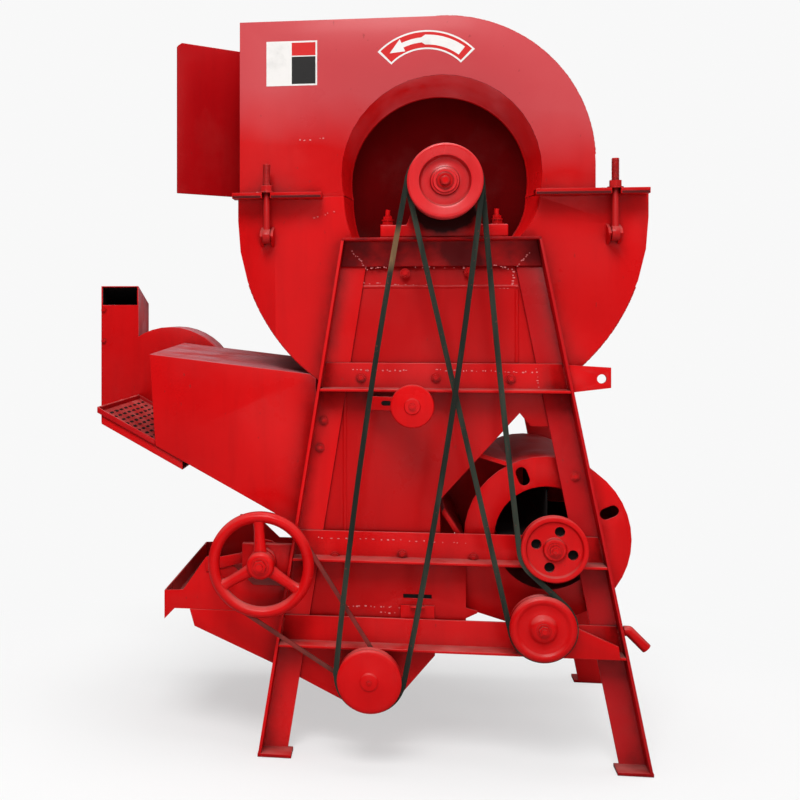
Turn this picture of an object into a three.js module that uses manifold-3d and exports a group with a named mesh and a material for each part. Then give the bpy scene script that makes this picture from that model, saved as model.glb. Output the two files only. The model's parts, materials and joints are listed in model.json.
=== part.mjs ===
// Belt driven threshing machine: an angle iron A-frame carries a round threshing
// housing with a straw outlet, a chaff chute, a winnowing fan, a shaking sieve and
// a grain trough. Lengths are millimetres, Z is up, the floor is Z = 0 and the
// threshing shaft runs along Y at X = 0. The belt side faces -Y.
import * as THREE from "three";
import { mergeVertices } from "three/addons/utils/BufferGeometryUtils.js";
import Module from "manifold-3d";

const wasm = await Module();
wasm.setup();

// Driving dimensions

const FRAME_HEIGHT = 925;
const LEG_LEFT_TOP = 178;
const LEG_LEFT_FOOT = 327;
const LEG_RIGHT_TOP = 166;
const LEG_RIGHT_FOOT = 352;
const FRAME_DEPTH = 545;
const ANGLE = 50;
const ANGLE_WALL = 5;
const SHEET = 3;
const GAP = 0.3;
const FOOT_PLATE = 60;
const FOOT_THICK = 6;
const UPPER_BAR_Z = 653;
const MIDDLE_BAR_Z = 351;
const LOWER_BAR_Z = 197;

// The housing's heights hang on the shaft's, and the shaft stands over the top beams
const DRUM_RISE = 92;
const DRUM_Z = FRAME_HEIGHT + DRUM_RISE;
const SHELL_X = -8;
const SHELL_DROP = 57;
const SHELL_Z = DRUM_Z - SHELL_DROP;
const SHELL_RADIUS = 360;
const SPLIT_DROP = 14;
const SPLIT_Z = DRUM_Z - SPLIT_DROP;
const COVER_X = -2;
const COVER_RISE = 41;
const COVER_Z = DRUM_Z + COVER_RISE;
const COVER_RADIUS = 265;
const OUTLET_INSET = 3;
const OUTLET_X = SHELL_X - SHELL_RADIUS + OUTLET_INSET;
const OUTLET_DEPTH = 190;
const DEFLECTOR_REACH = 129;
const DEFLECTOR_X = OUTLET_X - DEFLECTOR_REACH;
const DEFLECTOR_LIFT = 17;
const DEFLECTOR_LOW = SPLIT_Z + DEFLECTOR_LIFT;
const DEFLECTOR_HEIGHT = 287;
const INTAKE_X = -4;
const INTAKE_RISE = 25;
const INTAKE_Z = DRUM_Z + INTAKE_RISE;
const INTAKE_RADIUS = 176;
const COLLAR_DEPTH = 90;
const COLLAR_DROP = 22;
const EAR_OUT = 40;
const LEFT_BOLT_INSET = 55;
const RIGHT_BOLT_INSET = 60;
const LEFT_BOLT_X = SHELL_X - SHELL_RADIUS + LEFT_BOLT_INSET;
const RIGHT_BOLT_X = SHELL_X + SHELL_RADIUS - RIGHT_BOLT_INSET;
const BOLT_Y = -25;

const DRUM_PULLEY_RADIUS = 64;
const DRUM_RADIUS = 150;
const FAN_X = 183;
const FAN_Z = 391;
const FAN_PULLEY_RADIUS = 56;
const FAN_RADIUS = 145;
const FAN_INLET_RADIUS = 92;
const FAN_FRONT = 30;
const FAN_DEPTH = FRAME_DEPTH - 2 * FAN_FRONT;
const TENSION_X = 164;
const TENSION_Z = 256;
const TENSION_RADIUS = 56;
const AUGER_X = -128;
const AUGER_Z = 160;
const AUGER_PULLEY_RADIUS = 55;
const AUGER_SHEAVE_RADIUS = 34;
const CRANK_X = -318;
const CRANK_Z = 348;
const CRANK_RADIUS = 94;
const IDLER_X = -55;
const IDLER_Z = 632;
const IDLER_RADIUS = 37;

const BELT_WIDTH = 11;
const BELT_THICK = 9;
const BELT_A_Y = -106;
const BELT_B_Y = -86;
const BELT_C_Y = -76;
const BELT_C_WIDTH = 7;
const MAIN_BOW = 10;
const FAN_BOW = -3;
const SHAFT_RADIUS = 15;

const CHUTE_FRONT = 3;
const CHUTE_DEPTH = 400;
const TRAY_X = -632;
const TRAY_Z = 607;
const CHUTE_X = -522;
const CHUTE_END_X = -226;
const FLOOR_SLOPE = 0.542;
const BLOWER_X = -562;
const BLOWER_Z = 633;
const BLOWER_RADIUS = 130;
const BLOWER_DEPTH = 120;
const SPOUT_LEFT = -714;
const SPOUT_RIGHT = -632;
const SPOUT_TOP = 852;
const SPOUT_LOW = 556;

const ROUND_STEPS = 40;
const SMALL_STEPS = 16;

const RED = 0xd0171a;
const COVER_RED = 0xd2322f;
const DEEP_RED = 0xa81214;
const BELT_GREY = 0x3a3c36;
const STEEL_GREY = 0x6f6a66;

// Solids: closed meshes turned into bodies that can be joined and cut

function solid(geometry, matrix) {
  const bare = new THREE.BufferGeometry();
  const loose = geometry.index ? geometry.toNonIndexed() : geometry;
  bare.setAttribute("position", loose.getAttribute("position").clone());
  if (matrix) bare.applyMatrix4(matrix);
  const merged = mergeVertices(bare, 1e-4);
  const points = merged.getAttribute("position").array;
  const corners = new Uint32Array(merged.index.array);
  const made = new wasm.Manifold(
    new wasm.Mesh({ numProp: 3, vertProperties: points, triVerts: corners }),
  );
  if (made.volume() > 0) return made;
  for (let i = 0; i < corners.length; i += 3) {
    const held = corners[i + 1];
    corners[i + 1] = corners[i + 2];
    corners[i + 2] = held;
  }
  return new wasm.Manifold(
    new wasm.Mesh({ numProp: 3, vertProperties: points, triVerts: corners }),
  );
}

function basis(first, second, third, x, y, z) {
  const frame = new THREE.Matrix4();
  frame.makeBasis(
    new THREE.Vector3(...first),
    new THREE.Vector3(...second),
    new THREE.Vector3(...third),
  );
  frame.setPosition(x, y, z);
  return frame;
}

// An outline of [x, z] points, carried along Y from one face to the other
function slab(outline, from, to) {
  const shape = new THREE.Shape(outline.map(([x, z]) => new THREE.Vector2(x, z)));
  const geometry = new THREE.ExtrudeGeometry(shape, { depth: to - from, bevelEnabled: false });
  return solid(geometry, basis([1, 0, 0], [0, 0, 1], [0, -1, 0], 0, to, 0));
}

// An outline of [y, z] points, carried along X
function slabX(outline, from, to) {
  const shape = new THREE.Shape(outline.map(([y, z]) => new THREE.Vector2(y, z)));
  const geometry = new THREE.ExtrudeGeometry(shape, { depth: to - from, bevelEnabled: false });
  return solid(geometry, basis([0, 1, 0], [0, 0, 1], [1, 0, 0], from, 0, 0));
}

// A box between two corners
function box(x0, x1, y0, y1, z0, z1) {
  const geometry = new THREE.BoxGeometry(x1 - x0, y1 - y0, z1 - z0);
  const move = new THREE.Matrix4();
  move.setPosition((x0 + x1) / 2, (y0 + y1) / 2, (z0 + z1) / 2);
  return solid(geometry, move);
}

// A profile of [radius, y] points turned about an axis parallel to Y
function turned(profile, x, z, steps) {
  const points = profile.map(([r, y]) => new THREE.Vector2(r, y));
  const move = new THREE.Matrix4();
  move.setPosition(x, 0, z);
  return solid(new THREE.LatheGeometry(points, steps), move);
}

// A round bar along Y
function bar(radius, y0, y1, x, z, steps) {
  const profile = [
    [0, y0],
    [radius, y0],
    [radius, y1],
    [0, y1],
  ];
  return turned(profile, x, z, steps);
}

// A tube along Y
function tube(inner, outer, y0, y1, x, z, steps) {
  const profile = [
    [inner, y0],
    [outer, y0],
    [outer, y1],
    [inner, y1],
    [inner, y0],
  ];
  return turned(profile, x, z, steps);
}

function joined(first, ...others) {
  return others.reduce((whole, next) => whole.add(next), first);
}

function cut(first, ...others) {
  return others.reduce((whole, next) => whole.subtract(next), first);
}

function material(colour, roughness, metalness) {
  return new THREE.MeshStandardMaterial({ color: colour, roughness, metalness });
}

function piece(name, body, look, x = 0, y = 0, z = 0) {
  const made = body.getMesh();
  const geometry = new THREE.BufferGeometry();
  geometry.setAttribute("position", new THREE.BufferAttribute(made.vertProperties.slice(), 3));
  geometry.setIndex(new THREE.BufferAttribute(made.triVerts.slice(), 1));
  const faceted = geometry.toNonIndexed();
  faceted.computeVertexNormals();
  const mesh = new THREE.Mesh(faceted, look());
  mesh.name = name;
  mesh.position.set(x, y, z);
  return mesh;
}

const redPaint = () => material(RED, 0.38, 0.1);
const coverPaint = () => material(COVER_RED, 0.42, 0.1);
const deepPaint = () => material(DEEP_RED, 0.5, 0.1);
const rubber = () => material(BELT_GREY, 0.85, 0);
const bareSteel = () => material(STEEL_GREY, 0.45, 0.8);

function arcPoints(x, z, radius, start, end, steps) {
  const points = [];
  for (let i = 0; i <= steps; i += 1) {
    const angle = start + ((end - start) * i) / steps;
    points.push([x + radius * Math.cos(angle), z + radius * Math.sin(angle)]);
  }
  return points;
}

// The A-frame of angle irons

const LEG_HEIGHT = FRAME_HEIGHT - ANGLE_WALL;
const LEG_FEET = { "-1": LEG_LEFT_FOOT, 1: LEG_RIGHT_FOOT };
const LEG_LEANS = {
  "-1": (LEG_LEFT_FOOT - LEG_LEFT_TOP) / FRAME_HEIGHT,
  1: (LEG_RIGHT_FOOT - LEG_RIGHT_TOP) / FRAME_HEIGHT,
};
const SCREW_RADIUS = 6;

// Where a leg's outer face stands at a height: side is -1 for left and 1 for right
function legLine(side, z) {
  return side * (LEG_FEET[side] - LEG_LEANS[side] * z);
}

// One splayed leg: side is -1 for left and 1 for right, out is -1 when the flange
// points to the front and 1 when it points to the rear
function leg(side, out, face) {
  const wide = -side * ANGLE;
  const thin = -side * ANGLE_WALL;
  const plan = [
    [0, 0],
    [wide, 0],
    [wide, out * ANGLE_WALL],
    [thin, out * ANGLE_WALL],
    [thin, out * ANGLE],
    [0, out * ANGLE],
  ];
  const shape = new THREE.Shape(plan.map(([x, y]) => new THREE.Vector2(x, y)));
  const geometry = new THREE.ExtrudeGeometry(shape, { depth: LEG_HEIGHT, bevelEnabled: false });
  const lean = new THREE.Matrix4();
  lean.set(1, 0, -side * LEG_LEANS[side], side * LEG_FEET[side], 0, 1, 0, face, 0, 0, 1, 0, 0, 0, 0, 1);
  const inner = side * (LEG_FEET[side] - FOOT_PLATE);
  const outer = side * LEG_FEET[side];
  const plate = box(
    Math.min(inner, outer),
    Math.max(inner, outer),
    Math.min(face, face + out * ANGLE),
    Math.max(face, face + out * ANGLE),
    0,
    FOOT_THICK,
  );
  return joined(solid(geometry, lean), plate);
}

// An outline between the legs' inner faces, from one height to another
function betweenLegs(low, high, inset) {
  return [
    [legLine(-1, low) + inset, low],
    [legLine(1, low) - inset, low],
    [legLine(1, high) - inset, high],
    [legLine(-1, high) + inset, high],
  ];
}

// A cross bar: its upright flange lies on the legs and its shelf sticks out
function crossBar(low, out, face) {
  const inset = ANGLE_WALL + GAP;
  const upright = face + out * ANGLE_WALL;
  const back = face + 2 * out * ANGLE_WALL;
  const edge = face + out * ANGLE;
  const web = slab(
    betweenLegs(low, low + ANGLE, inset),
    Math.min(upright, back),
    Math.max(upright, back),
  );
  const shelf = slab(
    betweenLegs(low, low + ANGLE_WALL, inset),
    Math.min(upright, edge),
    Math.max(upright, edge),
  );
  return joined(web, shelf);
}

// The top beam rests on the legs' ends, with its upright flange hanging down
function topBeam(out, face) {
  const inset = ANGLE_WALL + GAP;
  const upright = face + out * ANGLE_WALL;
  const back = face + 2 * out * ANGLE_WALL;
  const edge = face + out * ANGLE;
  const low = FRAME_HEIGHT - ANGLE;
  const web = slab(
    betweenLegs(low, FRAME_HEIGHT - ANGLE_WALL, inset),
    Math.min(upright, back),
    Math.max(upright, back),
  );
  const top = box(
    -LEG_LEFT_TOP,
    LEG_RIGHT_TOP,
    Math.min(face, edge),
    Math.max(face, edge),
    LEG_HEIGHT,
    FRAME_HEIGHT,
  );
  return joined(top, web);
}

const HITCH_REACH = 62;
const HITCH_LOW = 655;
const HITCH_HIGH = 702;
const HITCH_HOLE = 8;
const HITCH_WALL = 8;

// A lug with an eye on the outside of the right leg
function hitchLug() {
  const low = legLine(1, HITCH_LOW) + GAP;
  const high = legLine(1, HITCH_HIGH) + GAP;
  const tip = low + HITCH_REACH;
  const drop = HITCH_WALL;
  const outline = [
    [low, HITCH_LOW],
    [tip, HITCH_LOW + drop],
    [tip, HITCH_HIGH - drop / 2],
    [high, HITCH_HIGH],
  ];
  const eye = bar(
    HITCH_HOLE,
    -ANGLE,
    0,
    tip - HITCH_REACH / 4,
    (HITCH_LOW + HITCH_HIGH) / 2,
    SMALL_STEPS,
  );
  return cut(slab(outline, -ANGLE + HITCH_WALL, -ANGLE + 2 * HITCH_WALL), eye);
}

function addFrame(group) {
  group.add(piece("front_leg_left", leg(-1, -1, 0), redPaint));
  group.add(piece("front_leg_right", leg(1, -1, 0), redPaint));
  group.add(piece("rear_leg_left", leg(-1, 1, FRAME_DEPTH), redPaint));
  group.add(piece("rear_leg_right", leg(1, 1, FRAME_DEPTH), redPaint));
  group.add(piece("front_top_beam", topBeam(-1, 0), redPaint));
  group.add(piece("rear_top_beam", topBeam(1, FRAME_DEPTH), redPaint));
  group.add(piece("front_upper_bar", crossBar(UPPER_BAR_Z, -1, 0), redPaint));
  const fanHole = bar(SHAFT_RADIUS + GAP, -ANGLE, 0, FAN_X, FAN_Z, SMALL_STEPS);
  const middle = cut(crossBar(MIDDLE_BAR_Z, -1, 0), fanHole);
  group.add(piece("front_middle_bar", middle, redPaint));
  group.add(piece("front_lower_bar", crossBar(LOWER_BAR_Z, -1, 0), redPaint));
  group.add(piece("rear_middle_bar", crossBar(MIDDLE_BAR_Z, 1, FRAME_DEPTH), redPaint));
  group.add(piece("rear_lower_bar", crossBar(LOWER_BAR_Z, 1, FRAME_DEPTH), redPaint));
  group.add(piece("hitch_lug", hitchLug(), redPaint));
}

// The round threshing housing: lower shell, upper cover, outlet and intake

const SHELL_FRONT = SHEET;
const SHELL_REAR = FRAME_DEPTH - SHEET;
const FLANGE = 5;
const FLANGE_OVER = 6;
const FLANGE_INSET = 4;
const LEFT_EAR = 160;
const RIGHT_EAR = 191;
const FLANGE_LEFT = SHELL_X - SHELL_RADIUS - FLANGE_OVER;
const FLANGE_LEFT_END = FLANGE_LEFT + LEFT_EAR;
const FLANGE_RIGHT_END = SHELL_X + SHELL_RADIUS - FLANGE_INSET;
const FLANGE_RIGHT = FLANGE_RIGHT_END - RIGHT_EAR;
const SLOT_HALF = 7.5;
const LUG_DROP = 73;
const LUG_Z = SPLIT_Z - LUG_DROP;
const LUG_HALF = 9;
const LUG_WALL = 5;
const ROD_RADIUS = 6;
const EYE_RADIUS = 13;
const EYE_HALF = 6.5;

// The lower shell's outline: a half circle with straight sides up to the split
function shellOutline(inset) {
  const radius = SHELL_RADIUS - inset;
  const arc = arcPoints(SHELL_X, SHELL_Z, radius, -Math.PI, 0, ROUND_STEPS / 2);
  return [[SHELL_X - radius, SPLIT_Z + inset], ...arc, [SHELL_X + radius, SPLIT_Z + inset]];
}

// Two cheeks that hold an eye bolt's pin, on the shell's front
function boltLug(x) {
  const outline = [
    [SHELL_FRONT, LUG_Z - LUG_HALF * 2],
    [SHELL_FRONT, LUG_Z + LUG_HALF * 2],
    [BOLT_Y, LUG_Z + LUG_HALF],
    [BOLT_Y - LUG_HALF, LUG_Z],
    [BOLT_Y, LUG_Z - LUG_HALF],
  ];
  const inner = EYE_HALF + GAP;
  const left = slabX(outline, x - inner - LUG_WALL, x - inner);
  const right = slabX(outline, x + inner, x + inner + LUG_WALL);
  const pin = new THREE.CylinderGeometry(ROD_RADIUS, ROD_RADIUS, 2 * inner + LUG_WALL, SMALL_STEPS);
  const turn = new THREE.Matrix4().makeRotationZ(Math.PI / 2);
  turn.setPosition(x, BOLT_Y, LUG_Z);
  return joined(left, right, solid(pin, turn));
}

// A flange ear along the split, slotted for the swing bolt
function ear(from, to, low, slotX) {
  const plate = box(from, to, -EAR_OUT, SHELL_FRONT, low, low + FLANGE);
  const slot = box(
    slotX - SLOT_HALF,
    slotX + SLOT_HALF,
    -EAR_OUT - SHEET,
    BOLT_Y + SLOT_HALF,
    low - SHEET,
    low + FLANGE + SHEET,
  );
  return cut(plate, slot);
}

function lowerShell() {
  const outer = slab(shellOutline(0), SHELL_FRONT, SHELL_REAR);
  const hollow = slab(shellOutline(SHEET), SHELL_FRONT + SHEET, SHELL_REAR - SHEET);
  const intake = bar(
    INTAKE_RADIUS,
    -SHEET,
    SHELL_FRONT + 2 * SHEET,
    INTAKE_X,
    INTAKE_Z,
    ROUND_STEPS,
  );
  const shaftSlot = box(
    -SHAFT_RADIUS * 2,
    SHAFT_RADIUS * 2,
    SHELL_REAR - 2 * SHEET,
    SHELL_REAR + SHEET,
    DRUM_Z - SHAFT_RADIUS * 2,
    SPLIT_Z + FLANGE,
  );
  const inside = SHEET / 2;
  const shelfLeft = box(
    SHELL_X - SHELL_RADIUS + inside,
    COVER_X - COVER_RADIUS,
    OUTLET_DEPTH,
    SHELL_REAR - inside,
    SPLIT_Z - SHEET,
    SPLIT_Z,
  );
  const shelfRight = box(
    COVER_X + COVER_RADIUS,
    SHELL_X + SHELL_RADIUS - inside,
    SHELL_FRONT + inside,
    SHELL_REAR - inside,
    SPLIT_Z - SHEET,
    SPLIT_Z,
  );
  const earLeft = ear(FLANGE_LEFT, FLANGE_LEFT_END, SPLIT_Z - FLANGE, LEFT_BOLT_X);
  const earRight = ear(FLANGE_RIGHT, FLANGE_RIGHT_END, SPLIT_Z - FLANGE, RIGHT_BOLT_X);
  const tub = cut(outer, hollow, intake, shaftSlot);
  return joined(
    tub,
    shelfLeft,
    shelfRight,
    earLeft,
    earRight,
    boltLug(LEFT_BOLT_X),
    boltLug(RIGHT_BOLT_X),
  );
}

// The cover's outline: flat on top as far as the outlet, round on the right
function coverOutline(inset, outletX) {
  const radius = COVER_RADIUS - inset;
  const arc = arcPoints(COVER_X, COVER_Z, radius, 0, Math.PI / 2, ROUND_STEPS / 3);
  return [
    [COVER_X + radius, SPLIT_Z - inset],
    ...arc,
    [outletX, COVER_Z + radius],
    [outletX, SPLIT_Z - inset],
  ];
}

function coverRound(inset) {
  const radius = COVER_RADIUS - inset;
  const arc = arcPoints(COVER_X, COVER_Z, radius, 0, Math.PI, (ROUND_STEPS * 2) / 3);
  return [[COVER_X + radius, SPLIT_Z - inset], ...arc, [COVER_X - radius, SPLIT_Z - inset]];
}

function upperCover() {
  const wing = slab(coverOutline(0, OUTLET_X), SHELL_FRONT, SHELL_FRONT + OUTLET_DEPTH);
  const wingHollow = slab(
    coverOutline(SHEET, OUTLET_X - SHEET),
    SHELL_FRONT + SHEET,
    SHELL_FRONT + OUTLET_DEPTH - SHEET,
  );
  const round = slab(coverRound(0), SHELL_FRONT + OUTLET_DEPTH - SHEET, SHELL_REAR);
  const roundHollow = slab(
    coverRound(SHEET),
    SHELL_FRONT + OUTLET_DEPTH - 3 * SHEET,
    SHELL_REAR - SHEET,
  );
  const intake = bar(
    INTAKE_RADIUS,
    -SHEET,
    SHELL_FRONT + 2 * SHEET,
    INTAKE_X,
    INTAKE_Z,
    ROUND_STEPS,
  );
  const shaftHole = bar(
    SHAFT_RADIUS * 2,
    SHELL_REAR - 2 * SHEET,
    SHELL_REAR + SHEET,
    0,
    DRUM_Z,
    SMALL_STEPS,
  );
  const keep = box(
    DEFLECTOR_X,
    FRAME_DEPTH,
    -FRAME_DEPTH,
    2 * FRAME_DEPTH,
    SPLIT_Z,
    2 * FRAME_HEIGHT,
  );
  const shell = cut(joined(wing, round), wingHollow, roundHollow, intake, shaftHole);
  const earLeft = ear(FLANGE_LEFT, FLANGE_LEFT_END, SPLIT_Z, LEFT_BOLT_X);
  const earRight = ear(FLANGE_RIGHT, FLANGE_RIGHT_END, SPLIT_Z, RIGHT_BOLT_X);
  return joined(shell, earLeft, earRight).intersect(keep);
}

// The far wall of the straw outlet ends in a flap that stands out to the front
const DEFLECTOR_TOP = DEFLECTOR_LOW + DEFLECTOR_HEIGHT;
const DEFLECTOR_CORNER = 8;
const DEFLECTOR_LAP = 30;
const DEFLECTOR_BEND = 22;
const DEFLECTOR_BEND_X = OUTLET_X - DEFLECTOR_BEND;
const DEFLECTOR_REACH_Y = 80;

function strawDeflector() {
  const back = SHELL_FRONT + OUTLET_DEPTH;
  const plan = [
    [OUTLET_X + DEFLECTOR_LAP, back],
    [OUTLET_X + DEFLECTOR_LAP, back + SHEET],
    [DEFLECTOR_BEND_X - SHEET / 2, back + SHEET],
    [DEFLECTOR_X - SHEET / 2, DEFLECTOR_REACH_Y + SHEET],
    [DEFLECTOR_X + SHEET / 2, DEFLECTOR_REACH_Y],
    [DEFLECTOR_BEND_X + SHEET / 2, back],
  ];
  const outline = [
    [DEFLECTOR_X - 2 * SHEET, DEFLECTOR_LOW],
    [OUTLET_X + ANGLE, DEFLECTOR_LOW],
    [OUTLET_X + ANGLE, DEFLECTOR_TOP],
    [DEFLECTOR_X + DEFLECTOR_CORNER, DEFLECTOR_TOP],
    [DEFLECTOR_X - 2 * SHEET, DEFLECTOR_TOP - DEFLECTOR_CORNER - 2 * SHEET],
  ];
  const shape = new THREE.Shape(plan.map(([x, y]) => new THREE.Vector2(x, y)));
  const tall = new THREE.ExtrudeGeometry(shape, { depth: 2 * FRAME_HEIGHT, bevelEnabled: false });
  return solid(tall).intersect(slab(outline, -ANGLE, FRAME_DEPTH));
}

// The air intake's collar: half a tapered, dropped throat behind the round hole
function intakeCollar() {
  const steps = ROUND_STEPS / 2;
  const low = Math.asin((SPLIT_Z + GAP + SHEET - INTAKE_Z) / INTAKE_RADIUS);
  const rings = [
    [INTAKE_RADIUS + SHEET, 0, 0],
    [INTAKE_RADIUS + SHEET, COLLAR_DROP, COLLAR_DEPTH],
    [INTAKE_RADIUS, COLLAR_DROP, COLLAR_DEPTH],
    [INTAKE_RADIUS, 0, 0],
  ];
  const front = SHELL_FRONT + SHEET;
  const around = rings.length;
  const points = [];
  for (let i = 0; i <= steps; i += 1) {
    const angle = low + ((Math.PI - 2 * low) * i) / steps;
    for (const [radius, drop, depth] of rings) {
      const bottom = SPLIT_Z + GAP;
      const z = INTAKE_Z - drop + radius * Math.sin(angle);
      const x = INTAKE_X + radius * Math.cos(angle);
      points.push(x, front + depth, Math.max(z, bottom));
    }
  }
  const faces = [];
  const quad = (a, b, c, d) => faces.push(a, b, c, a, c, d);
  for (let i = 0; i < steps; i += 1) {
    for (let k = 0; k < around; k += 1) {
      const next = (k + 1) % around;
      const ahead = around * (i + 1);
      quad(around * i + k, around * i + next, ahead + next, ahead + k);
    }
  }
  const last = around * steps;
  quad(3, 2, 1, 0);
  quad(last, last + 1, last + 2, last + 3);
  const geometry = new THREE.BufferGeometry();
  geometry.setAttribute("position", new THREE.Float32BufferAttribute(points, 3));
  geometry.setIndex(faces);
  return solid(geometry);
}

function addHousing(group) {
  group.add(piece("lower_shell", lowerShell(), redPaint));
  group.add(piece("upper_cover", upperCover(), coverPaint));
  group.add(piece("straw_deflector", strawDeflector(), redPaint));
  group.add(piece("intake_collar", intakeCollar(), redPaint));
}

// Body panels between the legs, with the gate in the front one

const PANEL_LOW = 200;
const PANEL_DROP = 7;
const PANEL_HIGH = FRAME_HEIGHT - PANEL_DROP;
const PANEL_INSET = 2;
const PANEL_FOOT_X = 40;
const PANEL_STEP_Z = 340;
const PANEL_TAB_X = 60;
const PANEL_TAB = [
  [PANEL_FOOT_X, 249],
  [PANEL_TAB_X, 259],
  [PANEL_TAB_X, 263],
  [PANEL_FOOT_X, 268],
];
const PANEL_THROAT_X = -5;
const PANEL_THROAT_LOW = 385;
const PANEL_THROAT_HIGH = 459;
const PANEL_CUT_X = 133;
const PANEL_CUT_Z = 615;
const PANEL_WING_X = 152;
const PANEL_WING_Z = 592;
const GATE_LEFT = -70;
const GATE_RIGHT = -20;
const GATE_LOW = 212;
const GATE_HIGH = 244;
const GATE_LAP = 5;
const GATE_SLOT_Z = 282;
const GATE_SLOT_HIGH = 7;
const GATE_TRAVEL = 12;

function panelOutline() {
  return [
    [legLine(-1, PANEL_LOW) + PANEL_INSET, PANEL_LOW],
    [PANEL_FOOT_X, PANEL_LOW],
    ...PANEL_TAB,
    [PANEL_FOOT_X, PANEL_STEP_Z],
    [PANEL_THROAT_X, PANEL_THROAT_LOW],
    [PANEL_THROAT_X, PANEL_THROAT_HIGH],
    [PANEL_CUT_X, PANEL_CUT_Z],
    [PANEL_WING_X, PANEL_WING_Z],
    [legLine(1, PANEL_WING_Z) - PANEL_INSET, PANEL_WING_Z],
    [legLine(1, PANEL_HIGH) - PANEL_INSET, PANEL_HIGH],
    [legLine(-1, PANEL_HIGH) + PANEL_INSET, PANEL_HIGH],
  ];
}

function frontPanel() {
  const plate = slab(panelOutline(), 0, SHEET);
  const mouth = box(GATE_LEFT, GATE_RIGHT, -SHEET, 2 * SHEET, GATE_LOW, GATE_HIGH);
  const slot = box(
    GATE_LEFT,
    GATE_RIGHT,
    -SHEET,
    2 * SHEET,
    GATE_SLOT_Z,
    GATE_SLOT_Z + GATE_SLOT_HIGH,
  );
  return cut(plate, mouth, slot);
}

function dischargeGate() {
  const plate = box(
    GATE_LEFT - GATE_LAP,
    GATE_RIGHT + GATE_LAP,
    -SHEET - GAP,
    -GAP,
    GATE_LOW - GATE_LAP,
    GATE_SLOT_Z - GATE_TRAVEL,
  );
  const pull = box(
    (3 * GATE_LEFT + GATE_RIGHT) / 4,
    (GATE_LEFT + 3 * GATE_RIGHT) / 4,
    -SHEET - GAP - GATE_TRAVEL,
    -GAP,
    GATE_SLOT_Z - GATE_TRAVEL - SHEET,
    GATE_SLOT_Z - GATE_TRAVEL,
  );
  return joined(plate, pull);
}

function addPanels(group) {
  group.add(piece("front_panel", frontPanel(), redPaint));
  const back = slab(panelOutline(), FRAME_DEPTH - SHEET, FRAME_DEPTH);
  group.add(piece("rear_panel", back, redPaint));
  group.add(piece("discharge_gate", dischargeGate(), redPaint));
}

// Chaff chute, perforated tray and the grain blower behind them

const CHUTE_TOP_X = -533;
const CHUTE_TOP_Z = 716;
const CHUTE_TOP_SLOPE = 0.116;
const CHUTE_TOP_LIFT = 13;
const TRAY_RIM = 11;
const UNDERPAN_LEFT = -625;
const UNDERPAN_RIGHT = -472;
const UNDERPAN_THICK = 17;
const UNDERPAN_SETBACK = 6;
const BLOWER_MOUTH = 42;
const SPOUT_FALL = 39;

// Height of the sloping floor line at a place along X
function floorAt(x) {
  return TRAY_Z - FLOOR_SLOPE * (x - TRAY_X);
}

function roofAt(x) {
  return CHUTE_TOP_Z - CHUTE_TOP_SLOPE * (x - CHUTE_TOP_X);
}

// A strip between two lines parallel to the floor line
function floorStrip(left, right, below, above) {
  return [
    [left, floorAt(left) - below],
    [right, floorAt(right) - below],
    [right, floorAt(right) + above],
    [left, floorAt(left) + above],
  ];
}

// Everything over the roof line less an amount, rising towards the rear
function overRoof(below) {
  const left = CHUTE_TOP_X - 2 * ANGLE;
  const right = CHUTE_END_X + 2 * ANGLE;
  const outline = [
    [left, roofAt(left) - below],
    [right, roofAt(right) - below],
    [right, 2 * CHUTE_TOP_Z],
    [left, 2 * CHUTE_TOP_Z],
  ];
  const rise = CHUTE_TOP_LIFT / CHUTE_DEPTH;
  const lean = new THREE.Matrix4();
  lean.set(1, 0, 0, 0, 0, 1, 0, 0, 0, rise, 1, -rise * CHUTE_FRONT, 0, 0, 0, 1);
  const shape = new THREE.Shape(outline.map(([x, z]) => new THREE.Vector2(x, z)));
  const geometry = new THREE.ExtrudeGeometry(shape, { depth: FRAME_DEPTH, bevelEnabled: false });
  const stand = basis([1, 0, 0], [0, 0, 1], [0, -1, 0], 0, FRAME_DEPTH - SHEET, 0);
  return solid(geometry, lean.multiply(stand));
}

function chute() {
  const front = CHUTE_FRONT;
  const back = CHUTE_FRONT + CHUTE_DEPTH;
  const lift = CHUTE_TOP_LIFT * 2;
  const outline = [
    [CHUTE_X, floorAt(CHUTE_X)],
    [CHUTE_END_X, floorAt(CHUTE_END_X)],
    [CHUTE_END_X, roofAt(CHUTE_END_X) + lift],
    [CHUTE_TOP_X, CHUTE_TOP_Z + lift],
    [CHUTE_TOP_X, CHUTE_TOP_Z],
  ];
  const left = CHUTE_TOP_X - ANGLE;
  const right = CHUTE_END_X + ANGLE;
  const inner = [
    [left, floorAt(left) + SHEET],
    [right, floorAt(right) + SHEET],
    [right, roofAt(right) + lift],
    [left, roofAt(left) + lift],
  ];
  const outer = cut(slab(outline, front, back), overRoof(0));
  const room = cut(slab(inner, front + SHEET, back - SHEET), overRoof(SHEET));
  const duct = cut(outer, room);
  const shell = bar(SHELL_RADIUS + 2 * GAP, -SHEET, FRAME_DEPTH, SHELL_X, SHELL_Z, 2 * ROUND_STEPS);
  return cut(duct, shell);
}

function feedTray() {
  const front = CHUTE_FRONT;
  const back = CHUTE_FRONT + CHUTE_DEPTH;
  const right = CHUTE_X - 3 * GAP;
  const plate = slab(floorStrip(TRAY_X, right, 0, SHEET), front, back);
  const near = slab(floorStrip(TRAY_X, right, 0, TRAY_RIM), front, front + SHEET);
  const far = slab(floorStrip(TRAY_X, right, 0, TRAY_RIM), back - SHEET, back);
  const end = slab(floorStrip(TRAY_X, TRAY_X + SHEET, 0, TRAY_RIM), front, back);
  return joined(plate, near, far, end);
}

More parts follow.
